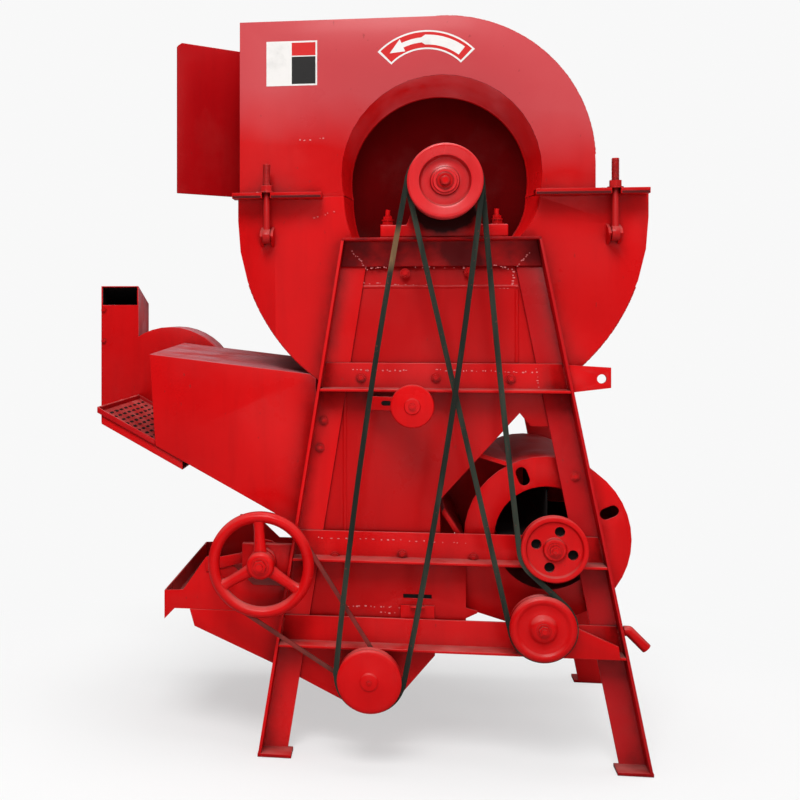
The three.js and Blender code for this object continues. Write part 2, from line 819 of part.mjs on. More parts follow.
function trayUnderpan() {
  const front = CHUTE_FRONT + UNDERPAN_SETBACK;
  const back = CHUTE_FRONT + CHUTE_DEPTH - UNDERPAN_SETBACK;
  const low = UNDERPAN_THICK + 2 * GAP;
  const outer = slab(floorStrip(UNDERPAN_LEFT, UNDERPAN_RIGHT, low, -2 * GAP), front, back);
  const hollow = slab(
    floorStrip(UNDERPAN_LEFT + SHEET, UNDERPAN_RIGHT + SHEET, low - SHEET, -SHEET - GAP),
    front + SHEET,
    back - SHEET,
  );
  return cut(outer, hollow);
}

// The snail shape: a disc with an upright duct at its left
function blowerSolid(inset, from, to) {
  const disc = bar(BLOWER_RADIUS - inset, from, to, BLOWER_X, BLOWER_Z, ROUND_STEPS);
  const duct = box(
    SPOUT_LEFT + inset,
    SPOUT_RIGHT - inset,
    from,
    to,
    SPOUT_LOW + inset,
    SPOUT_TOP - inset,
  );
  const near = CHUTE_FRONT + CHUTE_DEPTH;
  const far = near + BLOWER_DEPTH;
  const roof = [
    [near - SHEET, SPOUT_TOP - inset],
    [far + SHEET, SPOUT_TOP - SPOUT_FALL - inset],
    [far + SHEET, 2 * SPOUT_TOP],
    [near - SHEET, 2 * SPOUT_TOP],
  ];
  return cut(joined(disc, duct), slabX(roof, SPOUT_LEFT - SHEET, SPOUT_RIGHT + SHEET));
}

function grainBlower() {
  const near = CHUTE_FRONT + CHUTE_DEPTH;
  const far = near + BLOWER_DEPTH;
  const outer = blowerSolid(0, near, far);
  const hollow = blowerSolid(SHEET, near + SHEET, far - SHEET);
  const mouth = box(
    SPOUT_LEFT + SHEET,
    SPOUT_RIGHT - SHEET,
    near - SHEET,
    near + 2 * SHEET,
    SPOUT_TOP - BLOWER_MOUTH,
    SPOUT_TOP - SHEET,
  );
  return cut(outer, hollow, mouth);
}

function addChute(group) {
  group.add(piece("chaff_chute", chute(), redPaint));
  group.add(piece("perforated_tray", feedTray(), redPaint));
  group.add(piece("tray_underpan", trayUnderpan(), redPaint));
  group.add(piece("grain_blower", grainBlower(), redPaint));
}

// Winnowing fan

const FAN_DUCT = [
  [105, 268],
  [-2, 432],
  [62, 541],
  [122, 523],
];
const FAN_SKIRT = [
  [32, 263],
  [63, 254],
  [117, 238],
  [150, 262],
  [108, 330],
  [32, 340],
];
const FAN_SLOT_RADIUS = 117;
const FAN_SLOT_HALF = 7;
const FAN_SLOT_WIDE = 10;
const FAN_SLOT_ANGLES = [0.42, 1.94];
const FAN_SHAFT_RADIUS = 12;
const FAN_PADDLE = 84;
const FAN_PADDLES = 4;
const BEARING_RADIUS = 30;

function fanHousing() {
  const back = FAN_FRONT + FAN_DEPTH;
  const disc = bar(FAN_RADIUS, FAN_FRONT, back, FAN_X, FAN_Z, ROUND_STEPS);
  const skirt = slab(FAN_SKIRT, FAN_FRONT, FAN_FRONT + SHEET);
  const outer = joined(disc, slab(FAN_DUCT, FAN_FRONT, back));
  const [low, mouthLow, mouthHigh, high] = FAN_DUCT;
  const slope = [low[0] - mouthLow[0], low[1] - mouthLow[1]];
  const rise = [high[0] - mouthHigh[0], high[1] - mouthHigh[1]];
  const inside = SHEET * 2;
  const throat = [
    [low[0] + inside, low[1] + inside],
    [mouthLow[0] - slope[0] + inside, mouthLow[1] - slope[1] + inside],
    [mouthHigh[0] - rise[0] - inside, mouthHigh[1] - rise[1] - inside],
    [high[0] - inside, high[1] - inside],
  ];
  const room = joined(
    bar(FAN_RADIUS - SHEET, FAN_FRONT + SHEET, back - SHEET, FAN_X, FAN_Z, ROUND_STEPS),
    slab(throat, FAN_FRONT + SHEET, back - SHEET),
  );
  const window = cut(
    slab(throat, FAN_FRONT - SHEET, FAN_FRONT + 2 * SHEET),
    bar(FAN_RADIUS, -FAN_FRONT, back, FAN_X, FAN_Z, ROUND_STEPS),
  );
  const inlet = bar(FAN_INLET_RADIUS, 0, FAN_FRONT + 2 * SHEET, FAN_X, FAN_Z, ROUND_STEPS);
  const slots = FAN_SLOT_ANGLES.map((angle) => {
    const end = FAN_FRONT + 2 * SHEET;
    const hole = joined(
      box(-FAN_SLOT_HALF, FAN_SLOT_HALF, 0, end, -FAN_SLOT_WIDE, FAN_SLOT_WIDE),
      bar(FAN_SLOT_WIDE, 0, end, -FAN_SLOT_HALF, 0, SMALL_STEPS),
      bar(FAN_SLOT_WIDE, 0, end, FAN_SLOT_HALF, 0, SMALL_STEPS),
    );
    const degrees = (-angle * 180) / Math.PI;
    const x = FAN_X + FAN_SLOT_RADIUS * Math.cos(angle);
    const z = FAN_Z + FAN_SLOT_RADIUS * Math.sin(angle);
    return hole.rotate([0, degrees, 0]).translate([x, 0, z]);
  });
  const shell = bar(SHELL_RADIUS + 2 * GAP, 0, FRAME_DEPTH, SHELL_X, SHELL_Z, 2 * ROUND_STEPS);
  return cut(joined(cut(outer, room, window), skirt), inlet, shell, ...slots);
}

function fanRotor() {
  const front = FAN_FRONT + 3 * SHEET;
  const back = FAN_FRONT + FAN_DEPTH - 3 * SHEET;
  const hub = bar(2 * FAN_SHAFT_RADIUS, front, back, 0, 0, SMALL_STEPS);
  const paddles = [];
  for (let i = 0; i < FAN_PADDLES; i += 1) {
    const blade = box(0, FAN_PADDLE, front, back, -SHEET / 2, SHEET / 2);
    paddles.push(blade.rotate([0, (360 * i) / FAN_PADDLES, 0]));
  }
  return joined(hub, ...paddles);
}

// A bearing block bolted on a face, with a round boss
function bearingPlate(front, back, bore) {
  const flange = box(
    -BEARING_RADIUS,
    BEARING_RADIUS,
    back - 2 * SHEET,
    back,
    -BEARING_RADIUS * (2 / 3),
    BEARING_RADIUS * (2 / 3),
  );
  const boss = bar(BEARING_RADIUS * (3 / 4), front, back, 0, 0, SMALL_STEPS);
  const hole = bar(bore + GAP, front - SHEET, back + SHEET, 0, 0, SMALL_STEPS);
  return cut(joined(flange, boss), hole);
}

const SPACER = 26;
const SPACER_SPOTS = [
  [216, 466],
  [244, 286],
];

function addFan(group) {
  const spacers = SPACER_SPOTS.map(([x, z]) =>
    box(x, x + SPACER, 0, FAN_FRONT + SHEET, z, z + SPACER),
  );
  group.add(piece("fan_housing", joined(fanHousing(), ...spacers), redPaint));
  const shaft = bar(
    FAN_SHAFT_RADIUS,
    BELT_B_Y - BELT_WIDTH,
    FAN_FRONT + 3 * SHEET,
    0,
    0,
    SMALL_STEPS,
  );
  const rotor = joined(fanRotor(), shaft);
  group.add(piece("fan_rotor", rotor, deepPaint, FAN_X, 0, FAN_Z));
  const bearing = bearingPlate(-ANGLE + 2 * SHEET, -2 * ANGLE_WALL, FAN_SHAFT_RADIUS);
  group.add(piece("fan_bearing", bearing, redPaint, FAN_X, 0, FAN_Z));
}

// Grain trough, auger, sieve and its drive

const TROUGH = [
  [-458, 248],
  [-449, 217],
  [-301, 153],
  [-174, 91],
  [-133, 72],
  [-85, 95],
  [-14, 180],
  [-14, 248],
];
const TROUGH_HOLLOW = [
  [-470, 260],
  [-446, 220],
  [-300, 156],
  [-173, 94],
  [-133, 76],
  [-87, 98],
  [-17, 182],
  [-17, 260],
];
const AUGER_SHAFT_RADIUS = 12;
const AUGER_CORE = 20;
const SIEVE_LEFT = -505;
const SIEVE_RIGHT = -40;
const SIEVE_Z = 248;
const SIEVE_FRONT = 3.6;
const SIEVE_SIDE = [
  [-505, 281],
  [-470, 283],
  [-427, 345],
  [-393, 345],
  [-340, 296],
  [-40, 296],
];
const LIP_DROP = 20;
const LIP_REACH = 22;
const STRAP_INNER = 28;
const STRAP_OUTER = 32;
const STRAP_WALL = 3.4;
const CRANK_THROW = 10;
const CRANK_PIN = 7;
const CRANK_SHAFT_RADIUS = 12;
const CRANK_CHEEK = 6;
const ROD_HALF = 9;
const BRACKET_LOW = 318;
const BRACKET_HIGH = 378;
const BRACKET_LEFT = -356;

function grainTrough() {
  const rear = FRAME_DEPTH - SHEET;
  const outer = slab(TROUGH, SHEET, rear);
  const hollow = slab(TROUGH_HOLLOW, 2 * SHEET, rear - SHEET);
  const bore = bar(AUGER_SHAFT_RADIUS + GAP, 0, 3 * SHEET, AUGER_X, AUGER_Z, SMALL_STEPS);
  const mouth = box(GATE_LEFT, GATE_RIGHT, 0, 3 * SHEET, GATE_LOW, GATE_HIGH);
  return cut(outer, hollow, bore, mouth);
}

function auger() {
  const front = 4 * SHEET;
  const back = FRAME_DEPTH - 4 * SHEET;
  const core = bar(AUGER_CORE, front, back, 0, 0, SMALL_STEPS);
  const outer = AUGER_CORE + LIP_DROP;
  const flights = [];
  const turns = 6;
  const steps = 10 * turns;
  const points = [];
  const section = [
    [AUGER_CORE - SHEET, 0],
    [outer, 0],
    [outer, SHEET],
    [AUGER_CORE - SHEET, SHEET],
  ];
  const around = section.length;
  for (let i = 0; i <= steps; i += 1) {
    const angle = (2 * Math.PI * i) / (steps / turns);
    const y = front + SHEET + ((back - front - 4 * SHEET) * i) / steps;
    for (const [radius, lift] of section) {
      points.push(radius * Math.cos(angle), y + lift, radius * Math.sin(angle));
    }
  }
  const faces = [];
  const quad = (a, b, c, d) => faces.push(a, b, c, a, c, d);
  for (let i = 0; i < steps; i += 1) {
    for (let k = 0; k < around; k += 1) {
      const next = (k + 1) % around;
      const ahead = around * (i + 1);
      quad(around * i + k, around * i + next, ahead + next, ahead + k);
    }
  }
  const last = around * steps;
  quad(3, 2, 1, 0);
  quad(last, last + 1, last + 2, last + 3);
  const geometry = new THREE.BufferGeometry();
  geometry.setAttribute("position", new THREE.Float32BufferAttribute(points, 3));
  geometry.setIndex(faces);
  flights.push(solid(geometry));
  const shaft = bar(AUGER_SHAFT_RADIUS, BELT_A_Y - BELT_WIDTH, front + SHEET, 0, 0, SMALL_STEPS);
  return joined(core, shaft, ...flights);
}

function sieveTray() {
  const back = FRAME_DEPTH - SIEVE_FRONT;
  const low = SIEVE_Z + GAP;
  const side = [[SIEVE_RIGHT, low], [SIEVE_LEFT, low], ...SIEVE_SIDE];
  const near = slab(side, SIEVE_FRONT, SIEVE_FRONT + SHEET);
  const far = slab(side, back - SHEET, back);
  const deck = box(SIEVE_LEFT, SIEVE_RIGHT, SIEVE_FRONT, back, low, low + SHEET);
  const lip = slab(
    [
      [SIEVE_LEFT, low - LIP_DROP],
      [SIEVE_LEFT + LIP_REACH, low + SHEET],
      [SIEVE_LEFT, low + SHEET],
    ],
    SIEVE_FRONT,
    back,
  );
  const end = box(
    SIEVE_LEFT,
    SIEVE_LEFT + SHEET,
    SIEVE_FRONT,
    back,
    low,
    SIEVE_SIDE[0][1],
  );
  return joined(near, far, deck, lip, end);
}

// The strap hangs round the crank pin and its rod is bolted on the sieve's side
function pitman() {
  const back = SIEVE_FRONT;
  const front = back - STRAP_WALL;
  const ring = tube(STRAP_INNER, STRAP_OUTER, front, back, CRANK_X, CRANK_Z, SMALL_STEPS);
  const [, , shoulder] = SIEVE_SIDE;
  const rod = slab(
    [
      [CRANK_X - STRAP_INNER - SHEET, CRANK_Z - ROD_HALF],
      [CRANK_X - STRAP_INNER - SHEET, CRANK_Z + ROD_HALF],
      [shoulder[0], shoulder[1] - ROD_HALF / 2],
      [shoulder[0], shoulder[1] - 3 * ROD_HALF],
    ],
    front,
    back,
  );
  return joined(ring, rod);
}

function crankShaft() {
  const front = BELT_C_Y - 2 * BELT_WIDTH;
  const cheekBack = SIEVE_FRONT - STRAP_WALL - 1;
  const shaft = bar(CRANK_SHAFT_RADIUS, front, cheekBack - CRANK_CHEEK, 0, 0, SMALL_STEPS);
  const cheek = bar(
    CRANK_THROW + CRANK_PIN,
    cheekBack - CRANK_CHEEK,
    cheekBack,
    0,
    0,
    SMALL_STEPS,
  );
  const pin = bar(CRANK_PIN, cheekBack, SIEVE_FRONT - GAP, CRANK_THROW, 0, SMALL_STEPS);
  return joined(shaft, cheek, pin);
}

function crankBracket() {
  const outline = [
    [BRACKET_LEFT, BRACKET_LOW],
    [legLine(-1, BRACKET_LOW) - GAP, BRACKET_LOW],
    [legLine(-1, BRACKET_HIGH) - GAP, BRACKET_HIGH],
    [BRACKET_LEFT, BRACKET_HIGH],
  ];
  const plate = slab(outline, -ANGLE + 4 * SHEET, -ANGLE_WALL * 4);
  const boss = bar(2 * CRANK_SHAFT_RADIUS, -ANGLE, -ANGLE_WALL * 2, CRANK_X, CRANK_Z, SMALL_STEPS);
  const bore = bar(CRANK_SHAFT_RADIUS + GAP, -2 * ANGLE, 0, CRANK_X, CRANK_Z, SMALL_STEPS);
  return cut(joined(plate, boss), bore);
}

function addCleaning(group) {
  group.add(piece("grain_trough", grainTrough(), redPaint));
  group.add(piece("grain_auger", auger(), deepPaint, AUGER_X, 0, AUGER_Z));
  const bearing = bearingPlate(-ANGLE_WALL * 4, SHEET, AUGER_SHAFT_RADIUS);
  group.add(piece("auger_bearing", bearing, redPaint, AUGER_X, 0, AUGER_Z));
  group.add(piece("sieve_tray", sieveTray(), redPaint));
  group.add(piece("sieve_pitman", pitman(), redPaint));
  group.add(piece("crank_shaft", crankShaft(), bareSteel, CRANK_X, 0, CRANK_Z));
  group.add(piece("crank_bracket", crankBracket(), redPaint));
}

// Wheels and belts

const RIM_WALL = 7;
const GROOVE_CLEAR = 0.6;
const SEAT = 6;

// Each belt's middle line lies this much below its wheel's edge, or above it
const DRUM_SEAT = 1;
const FAN_SEAT = -2;
const TENSION_SEAT = 2;
const AUGER_SEAT = -3;
const DRUM_PITCH = DRUM_PULLEY_RADIUS - DRUM_SEAT;
const FAN_PITCH = FAN_PULLEY_RADIUS - FAN_SEAT;
const TENSION_PITCH = TENSION_RADIUS - TENSION_SEAT;
const AUGER_PITCH = AUGER_PULLEY_RADIUS - AUGER_SEAT;
const SHEAVE_PITCH = AUGER_SHEAVE_RADIUS - SEAT;
const CRANK_PITCH = CRANK_RADIUS - SEAT;

// Grooved rim profile from the rear edge to the front edge
function rimPoints(radius, grooves, back, front) {
  const points = [[radius, back]];
  for (const { centre, width, thick, pitch } of grooves) {
    const half = width / 2 + GROOVE_CLEAR;
    const floor = pitch - thick / 2 - GAP;
    points.push([radius, centre + half], [floor, centre + half]);
    points.push([floor, centre - half], [radius, centre - half]);
  }
  points.push([radius, front]);
  return points;
}

// A pulley with a web, a hub and a dished front face
function pulley(radius, grooves, back, front, bore, dish) {
  const profile = [
    [bore + GAP, back],
    ...rimPoints(radius, grooves, back, front),
    [radius - RIM_WALL, front],
    [radius - RIM_WALL - SHEET, front + dish],
    [bore + RIM_WALL * 2, front + dish],
    [bore + RIM_WALL, front - SHEET],
    [bore + GAP, front - SHEET],
    [bore + GAP, back],
  ];
  return turned(profile, 0, 0, ROUND_STEPS);
}

function groove(centre, pitch, width = BELT_WIDTH, thick = BELT_THICK) {
  return { centre, width, thick, pitch };
}

const C_GROOVE = BELT_C_WIDTH;

function drumPulley() {
  const grooves = [
    groove(BELT_B_Y, DRUM_PITCH),
    groove(BELT_A_Y, DRUM_PITCH),
  ];
  const back = BELT_B_Y + 2 * SEAT;
  const front = BELT_A_Y - 2 * SEAT;
  return pulley(DRUM_PULLEY_RADIUS, grooves, back, front, SHAFT_RADIUS, 2 * SEAT);
}

const WEB_HOLES = 4;
const WEB_HOLE_RADIUS = 9;
const WEB_HOLE_PLACE = 0.56;
const WEB_HOLE_TURN = 17;

function fanPulley() {
  const grooves = [groove(BELT_B_Y, FAN_PITCH)];
  const back = BELT_B_Y + 2 * SEAT;
  const front = BELT_B_Y - 2 * SEAT;
  const wheel = pulley(FAN_PULLEY_RADIUS, grooves, back, front, FAN_SHAFT_RADIUS, SEAT);
  const holes = [];
  for (let i = 0; i < WEB_HOLES; i += 1) {
    const angle = (i / WEB_HOLES) * 2 * Math.PI + (WEB_HOLE_TURN * Math.PI) / 180;
    const x = FAN_PULLEY_RADIUS * WEB_HOLE_PLACE * Math.cos(angle);
    const z = FAN_PULLEY_RADIUS * WEB_HOLE_PLACE * Math.sin(angle);
    holes.push(bar(WEB_HOLE_RADIUS, front - SHEET, back + SHEET, x, z, SMALL_STEPS));
  }
  return cut(wheel, ...holes);
}

// The tension pulley's face bulges, with a raised ring round its pin
function tensionPulley() {
  const back = BELT_B_Y + 2 * SEAT;
  const front = BELT_B_Y - 2 * SEAT;
  const bore = CRANK_PIN + GAP;
  const rim = rimPoints(TENSION_RADIUS, [groove(BELT_B_Y, TENSION_PITCH)], back, front);
  const profile = [
    [bore, back],
    ...rim,
    [TENSION_RADIUS * (4 / 5), front - SHEET],
    [TENSION_RADIUS / 2, front - SEAT],
    [TENSION_RADIUS / 3, front - SEAT],
    [TENSION_RADIUS / 3 - SHEET, front - 2 * SEAT],
    [bore, front - 2 * SEAT],
    [bore, back],
  ];
  return turned(profile, 0, 0, ROUND_STEPS);
}

function idlerPulley() {
  const back = BELT_A_Y + 2 * SEAT;
  const front = BELT_A_Y - SEAT;
  const bore = CRANK_PIN + GAP;
  const profile = [
    [bore, back],
    [IDLER_RADIUS, back],
    [IDLER_RADIUS, front],
    [IDLER_RADIUS - RIM_WALL, front - SHEET],
    [IDLER_RADIUS / 2, front - SHEET],
    [IDLER_RADIUS / 3, front - SEAT],
    [bore, front - SEAT],
    [bore, back],
  ];
  return turned(profile, 0, 0, ROUND_STEPS);
}

function augerPulley() {
  const back = BELT_C_Y + 2 * SEAT;
  const step = BELT_A_Y + BELT_WIDTH;
  const front = BELT_A_Y - 2 * SEAT;
  const sheave = rimPoints(
    AUGER_SHEAVE_RADIUS,
    [groove(BELT_C_Y, SHEAVE_PITCH, C_GROOVE, C_GROOVE)],
    back,
    step,
  );
  const wheel = rimPoints(
    AUGER_PULLEY_RADIUS,
    [groove(BELT_A_Y, AUGER_PITCH)],
    step,
    front,
  );
  const bore = AUGER_SHAFT_RADIUS + GAP;
  const profile = [
    [bore, back],
    ...sheave,
    ...wheel,
    [AUGER_PULLEY_RADIUS * (4 / 5), front - SHEET],
    [AUGER_PULLEY_RADIUS / 2, front - SHEET],
    [AUGER_PULLEY_RADIUS / 3, front - SEAT],
    [bore, front - SEAT],
    [bore, back],
  ];
  return turned(profile, 0, 0, ROUND_STEPS);
}

const WHEEL_RIM = 20;
const WHEEL_SPOKES = 3;
const SPOKE_HALF = 9;
const HUB_OVER = 8;

function crankWheel() {
  const back = BELT_C_Y + 2 * SEAT;
  const front = BELT_C_Y - 2 * SEAT;
  const inner = CRANK_RADIUS - WHEEL_RIM;
  const rim = turned(
    [
      [inner + SHEET, back],
      ...rimPoints(
        CRANK_RADIUS,
        [groove(BELT_C_Y, CRANK_PITCH, C_GROOVE, C_GROOVE)],
        back,
        front + SHEET,
      ),
      [CRANK_RADIUS - SHEET, front],
      [inner + SHEET, front],
      [inner, front + SHEET],
      [inner, back - SHEET],
      [inner + SHEET, back],
    ],
    0,
    0,
    ROUND_STEPS,
  );
  const hub = bar(2 * CRANK_SHAFT_RADIUS, front - HUB_OVER, back, 0, 0, SMALL_STEPS);
  const spokes = [];
  for (let i = 0; i < WHEEL_SPOKES; i += 1) {
    const outline = [
      [0, -SPOKE_HALF],
      [inner + SHEET, -SPOKE_HALF * (3 / 4)],
      [inner + SHEET, SPOKE_HALF * (3 / 4)],
      [0, SPOKE_HALF],
    ];
    const spoke = slab(outline, front + SHEET, back - 2 * SHEET);
    spokes.push(spoke.rotate([0, (360 * i) / WHEEL_SPOKES - 90, 0]));
  }
  const bore = bar(CRANK_SHAFT_RADIUS + GAP, -2 * DRUM_RADIUS, 0, 0, 0, SMALL_STEPS);
  return cut(joined(rim, hub, ...spokes), bore);
}

// The outline of a belt round several wheels, its line moved outwards by an amount.
// Each wheel is [x, z, radius, sense, bow]: sense 1 inside the loop, -1 outside it,
// and the slack strand that leaves it stands out by the bow in its middle.
function beltOutline(wheels, amount) {
  const count = wheels.length;
  const headings = wheels.map(([x, z, radius, sense], i) => {
    const [nx, nz, nextRadius, nextSense] = wheels[(i + 1) % count];
    const here = sense * radius + amount;
    const there = nextSense * nextRadius + amount;
    const distance = Math.hypot(nx - x, nz - z);
    return Math.atan2(nz - z, nx - x) - Math.asin((there - here) / distance);
  });
  const points = [];
  const strand = ROUND_STEPS / 5;
  wheels.forEach(([x, z, radius, sense, bow], i) => {
    const start = headings[(i + count - 1) % count];
    let turn = headings[i] - start;
    while (sense * turn < 0) turn += sense * 2 * Math.PI;
    const reach = sense * radius + amount;
    const steps = Math.max(2, Math.ceil((Math.abs(turn) * ROUND_STEPS) / (2 * Math.PI)));
    for (let k = 0; k <= steps; k += 1) {
      const heading = start + (turn * k) / steps;
      points.push([x + reach * Math.sin(heading), z - reach * Math.cos(heading)]);
    }
    if (!bow) return;
    const [nx, nz, nextRadius, nextSense] = wheels[(i + 1) % count];
    const there = nextSense * nextRadius + amount;
    const [side, drop] = [Math.sin(headings[i]), Math.cos(headings[i])];
    const [fromX, fromZ] = points[points.length - 1];
    const [toX, toZ] = [nx + there * side, nz - there * drop];
    for (let k = 1; k < strand; k += 1) {
      const share = k / strand;
      const out = 4 * bow * share * (1 - share);
      const alongX = fromX + (toX - fromX) * share;
      const alongZ = fromZ + (toZ - fromZ) * share;
      points.push([alongX + out * side, alongZ - out * drop]);
    }
  });
  return points;
}

function belt(wheels, centre, width, thick) {
  const from = centre - width / 2;
  const to = centre + width / 2;
  const outer = slab(beltOutline(wheels, thick / 2), from, to);
  const inner = slab(beltOutline(wheels, -thick / 2), from - SHEET, to + SHEET);
  return cut(outer, inner);
}

const MAIN_BELT = [
  [0, DRUM_Z, DRUM_PITCH, 1, MAIN_BOW],
  [AUGER_X, AUGER_Z, AUGER_PITCH, 1, MAIN_BOW],
];
const FAN_BELT = [
  [0, DRUM_Z, DRUM_PITCH, 1, 0],
  [TENSION_X, TENSION_Z, TENSION_PITCH, 1, 0],
  [FAN_X, FAN_Z, FAN_PITCH, -1, FAN_BOW],
];
const CRANK_BELT = [
  [CRANK_X, CRANK_Z, CRANK_PITCH, 1, 0],
  [AUGER_X, AUGER_Z, SHEAVE_PITCH, 1, 0],
];

const ARM_THICK = 8;
const ARM = [
  [148, 199],
  [296, 199],
  [293, 222],
  [186, 268],
  [164, 274],
  [144, 262],
];
const HANDLE_RADIUS = 9;
const HANDLE_Z = 243;
const HANDLE_DROP = 30;
const HANDLE_STUB = 9;
const IDLER_PIVOT_X = -118;
const IDLER_PIVOT_Z = 634;
const IDLER_ARM_HALF = 12;

function tensionArm() {
  const plate = slab(ARM, -ANGLE - ARM_THICK, -ANGLE);
  const pin = bar(
    CRANK_PIN,
    BELT_B_Y - 2 * SEAT,
    -ANGLE - SHEET,
    TENSION_X,
    TENSION_Z,
    SMALL_STEPS,
  );
  return joined(plate, pin);
}

function idlerArm() {
  const back = -ANGLE;
  const outline = [
    [IDLER_PIVOT_X - IDLER_ARM_HALF, IDLER_PIVOT_Z - IDLER_ARM_HALF],
    [IDLER_X + IDLER_ARM_HALF, IDLER_Z - IDLER_ARM_HALF],
    [IDLER_X + IDLER_ARM_HALF, IDLER_Z + IDLER_ARM_HALF],
    [IDLER_PIVOT_X - IDLER_ARM_HALF, IDLER_PIVOT_Z + IDLER_ARM_HALF],
  ];
  const plate = slab(outline, back - ARM_THICK, back);
  const pin = bar(CRANK_PIN, BELT_A_Y, back - SHEET, IDLER_X, IDLER_Z, SMALL_STEPS);
  const post = bar(CRANK_PIN + SHEET, back - SHEET, 0, IDLER_PIVOT_X, IDLER_PIVOT_Z, SMALL_STEPS);
  return joined(plate, pin, post);
}

// A bent round handle standing out from the right leg
function tensionHandle() {
  const root = legLine(1, HANDLE_Z - HANDLE_RADIUS) + GAP;
  const bend = new THREE.Vector3(root + HANDLE_STUB, 0, HANDLE_Z);
  const tip = new THREE.Vector3(root + HANDLE_STUB + HANDLE_DROP, 0, HANDLE_Z - HANDLE_DROP);
  const rods = [
    [new THREE.Vector3(root, 0, HANDLE_Z), bend],
    [bend, tip],
  ].map(([from, to]) => {
    const way = to.clone().sub(from);
    const rod = new THREE.CylinderGeometry(HANDLE_RADIUS, HANDLE_RADIUS, way.length(), SMALL_STEPS);
    const turn = new THREE.Quaternion();
    turn.setFromUnitVectors(new THREE.Vector3(0, 1, 0), way.clone().normalize());
    const middle = from.clone().add(to).multiplyScalar(1 / 2);
    const one = new THREE.Vector3(1, 1, 1);
    return solid(rod, new THREE.Matrix4().compose(middle, turn, one));
  });
  const ball = new THREE.SphereGeometry(HANDLE_RADIUS, SMALL_STEPS, SMALL_STEPS / 2);
  const move = new THREE.Matrix4().setPosition(bend.x, 0, bend.z);
  return joined(...rods, solid(ball, move));
}

function pillowBlock(out) {
  const near = out * ANGLE_WALL;
  const far = out * (ANGLE - ANGLE_WALL);
  const from = Math.min(near, far);
  const to = Math.max(near, far);
  const base = box(-PILLOW_HALF, PILLOW_HALF, from, to, FRAME_HEIGHT, FRAME_HEIGHT + PILLOW_BASE);
  const house = bar(PILLOW_RADIUS, from, to, 0, DRUM_Z, ROUND_STEPS / 2);
  const outline = [
    [-PILLOW_ROOT, FRAME_HEIGHT],
    [PILLOW_ROOT, FRAME_HEIGHT],
    [PILLOW_WAIST, PILLOW_WAIST_Z],
    [-PILLOW_WAIST, PILLOW_WAIST_Z],
  ];
  const neck = slab(outline, from, to);
  const bore = bar(SHAFT_RADIUS + GAP, from - SHEET, to + SHEET, 0, DRUM_Z, SMALL_STEPS);
  return cut(joined(base, house, neck), bore);
}

const PILLOW_HALF = 110;
const PILLOW_BASE = 22;
const PILLOW_RADIUS = 50;
const PILLOW_ROOT = 72;
const PILLOW_WAIST = 46;
const PILLOW_WAIST_DROP = 17;
const PILLOW_WAIST_Z = DRUM_Z - PILLOW_WAIST_DROP;
const THROWER_RADIUS = 215;
const THROWER_FRONT = 104;
const THROWER_BACK = 186;
const DRUM_CORE = 118;
const DRUM_BARS = 6;
const BAR_HALF = 14;
const SHAFT_FRONT = BELT_A_Y - 3 * SEAT - SHEET;
const SHAFT_REAR = FRAME_DEPTH + ANGLE + 2 * SEAT;

// Threshing drum with beater bars, and thrower blades at its front end
function drumRotor() {
  const back = SHELL_REAR - 6 * SHEET;
  const core = tube(DRUM_CORE - SHEET, DRUM_CORE, THROWER_BACK, back, 0, 0, ROUND_STEPS / 2);
  const face = THROWER_FRONT + 2 * SHEET;
  const plate = bar(THROWER_RADIUS, THROWER_FRONT, face, 0, 0, ROUND_STEPS);
  const disc = bar(THROWER_RADIUS, THROWER_BACK - SHEET, THROWER_BACK + SHEET, 0, 0, ROUND_STEPS);
  const hub = bar(3 * SHAFT_RADIUS, THROWER_FRONT, THROWER_BACK, 0, 0, SMALL_STEPS);
  const parts = [];
  for (let i = 0; i < DRUM_BARS; i += 1) {
    const angle = (360 * i) / DRUM_BARS;
    const beater = box(DRUM_CORE - BAR_HALF, DRUM_RADIUS, THROWER_BACK, back, -BAR_HALF, BAR_HALF);
    const blade = box(
      2 * SHAFT_RADIUS,
      THROWER_RADIUS,
      THROWER_FRONT,
      THROWER_BACK,
      -SHEET,
      SHEET,
    );
    parts.push(beater.rotate([0, angle, 0]), blade.rotate([0, angle, 0]));
  }
  const bore = bar(SHAFT_RADIUS + GAP, 0, SHELL_REAR, 0, 0, SMALL_STEPS);
  return cut(joined(core, plate, disc, hub, ...parts), bore);
}

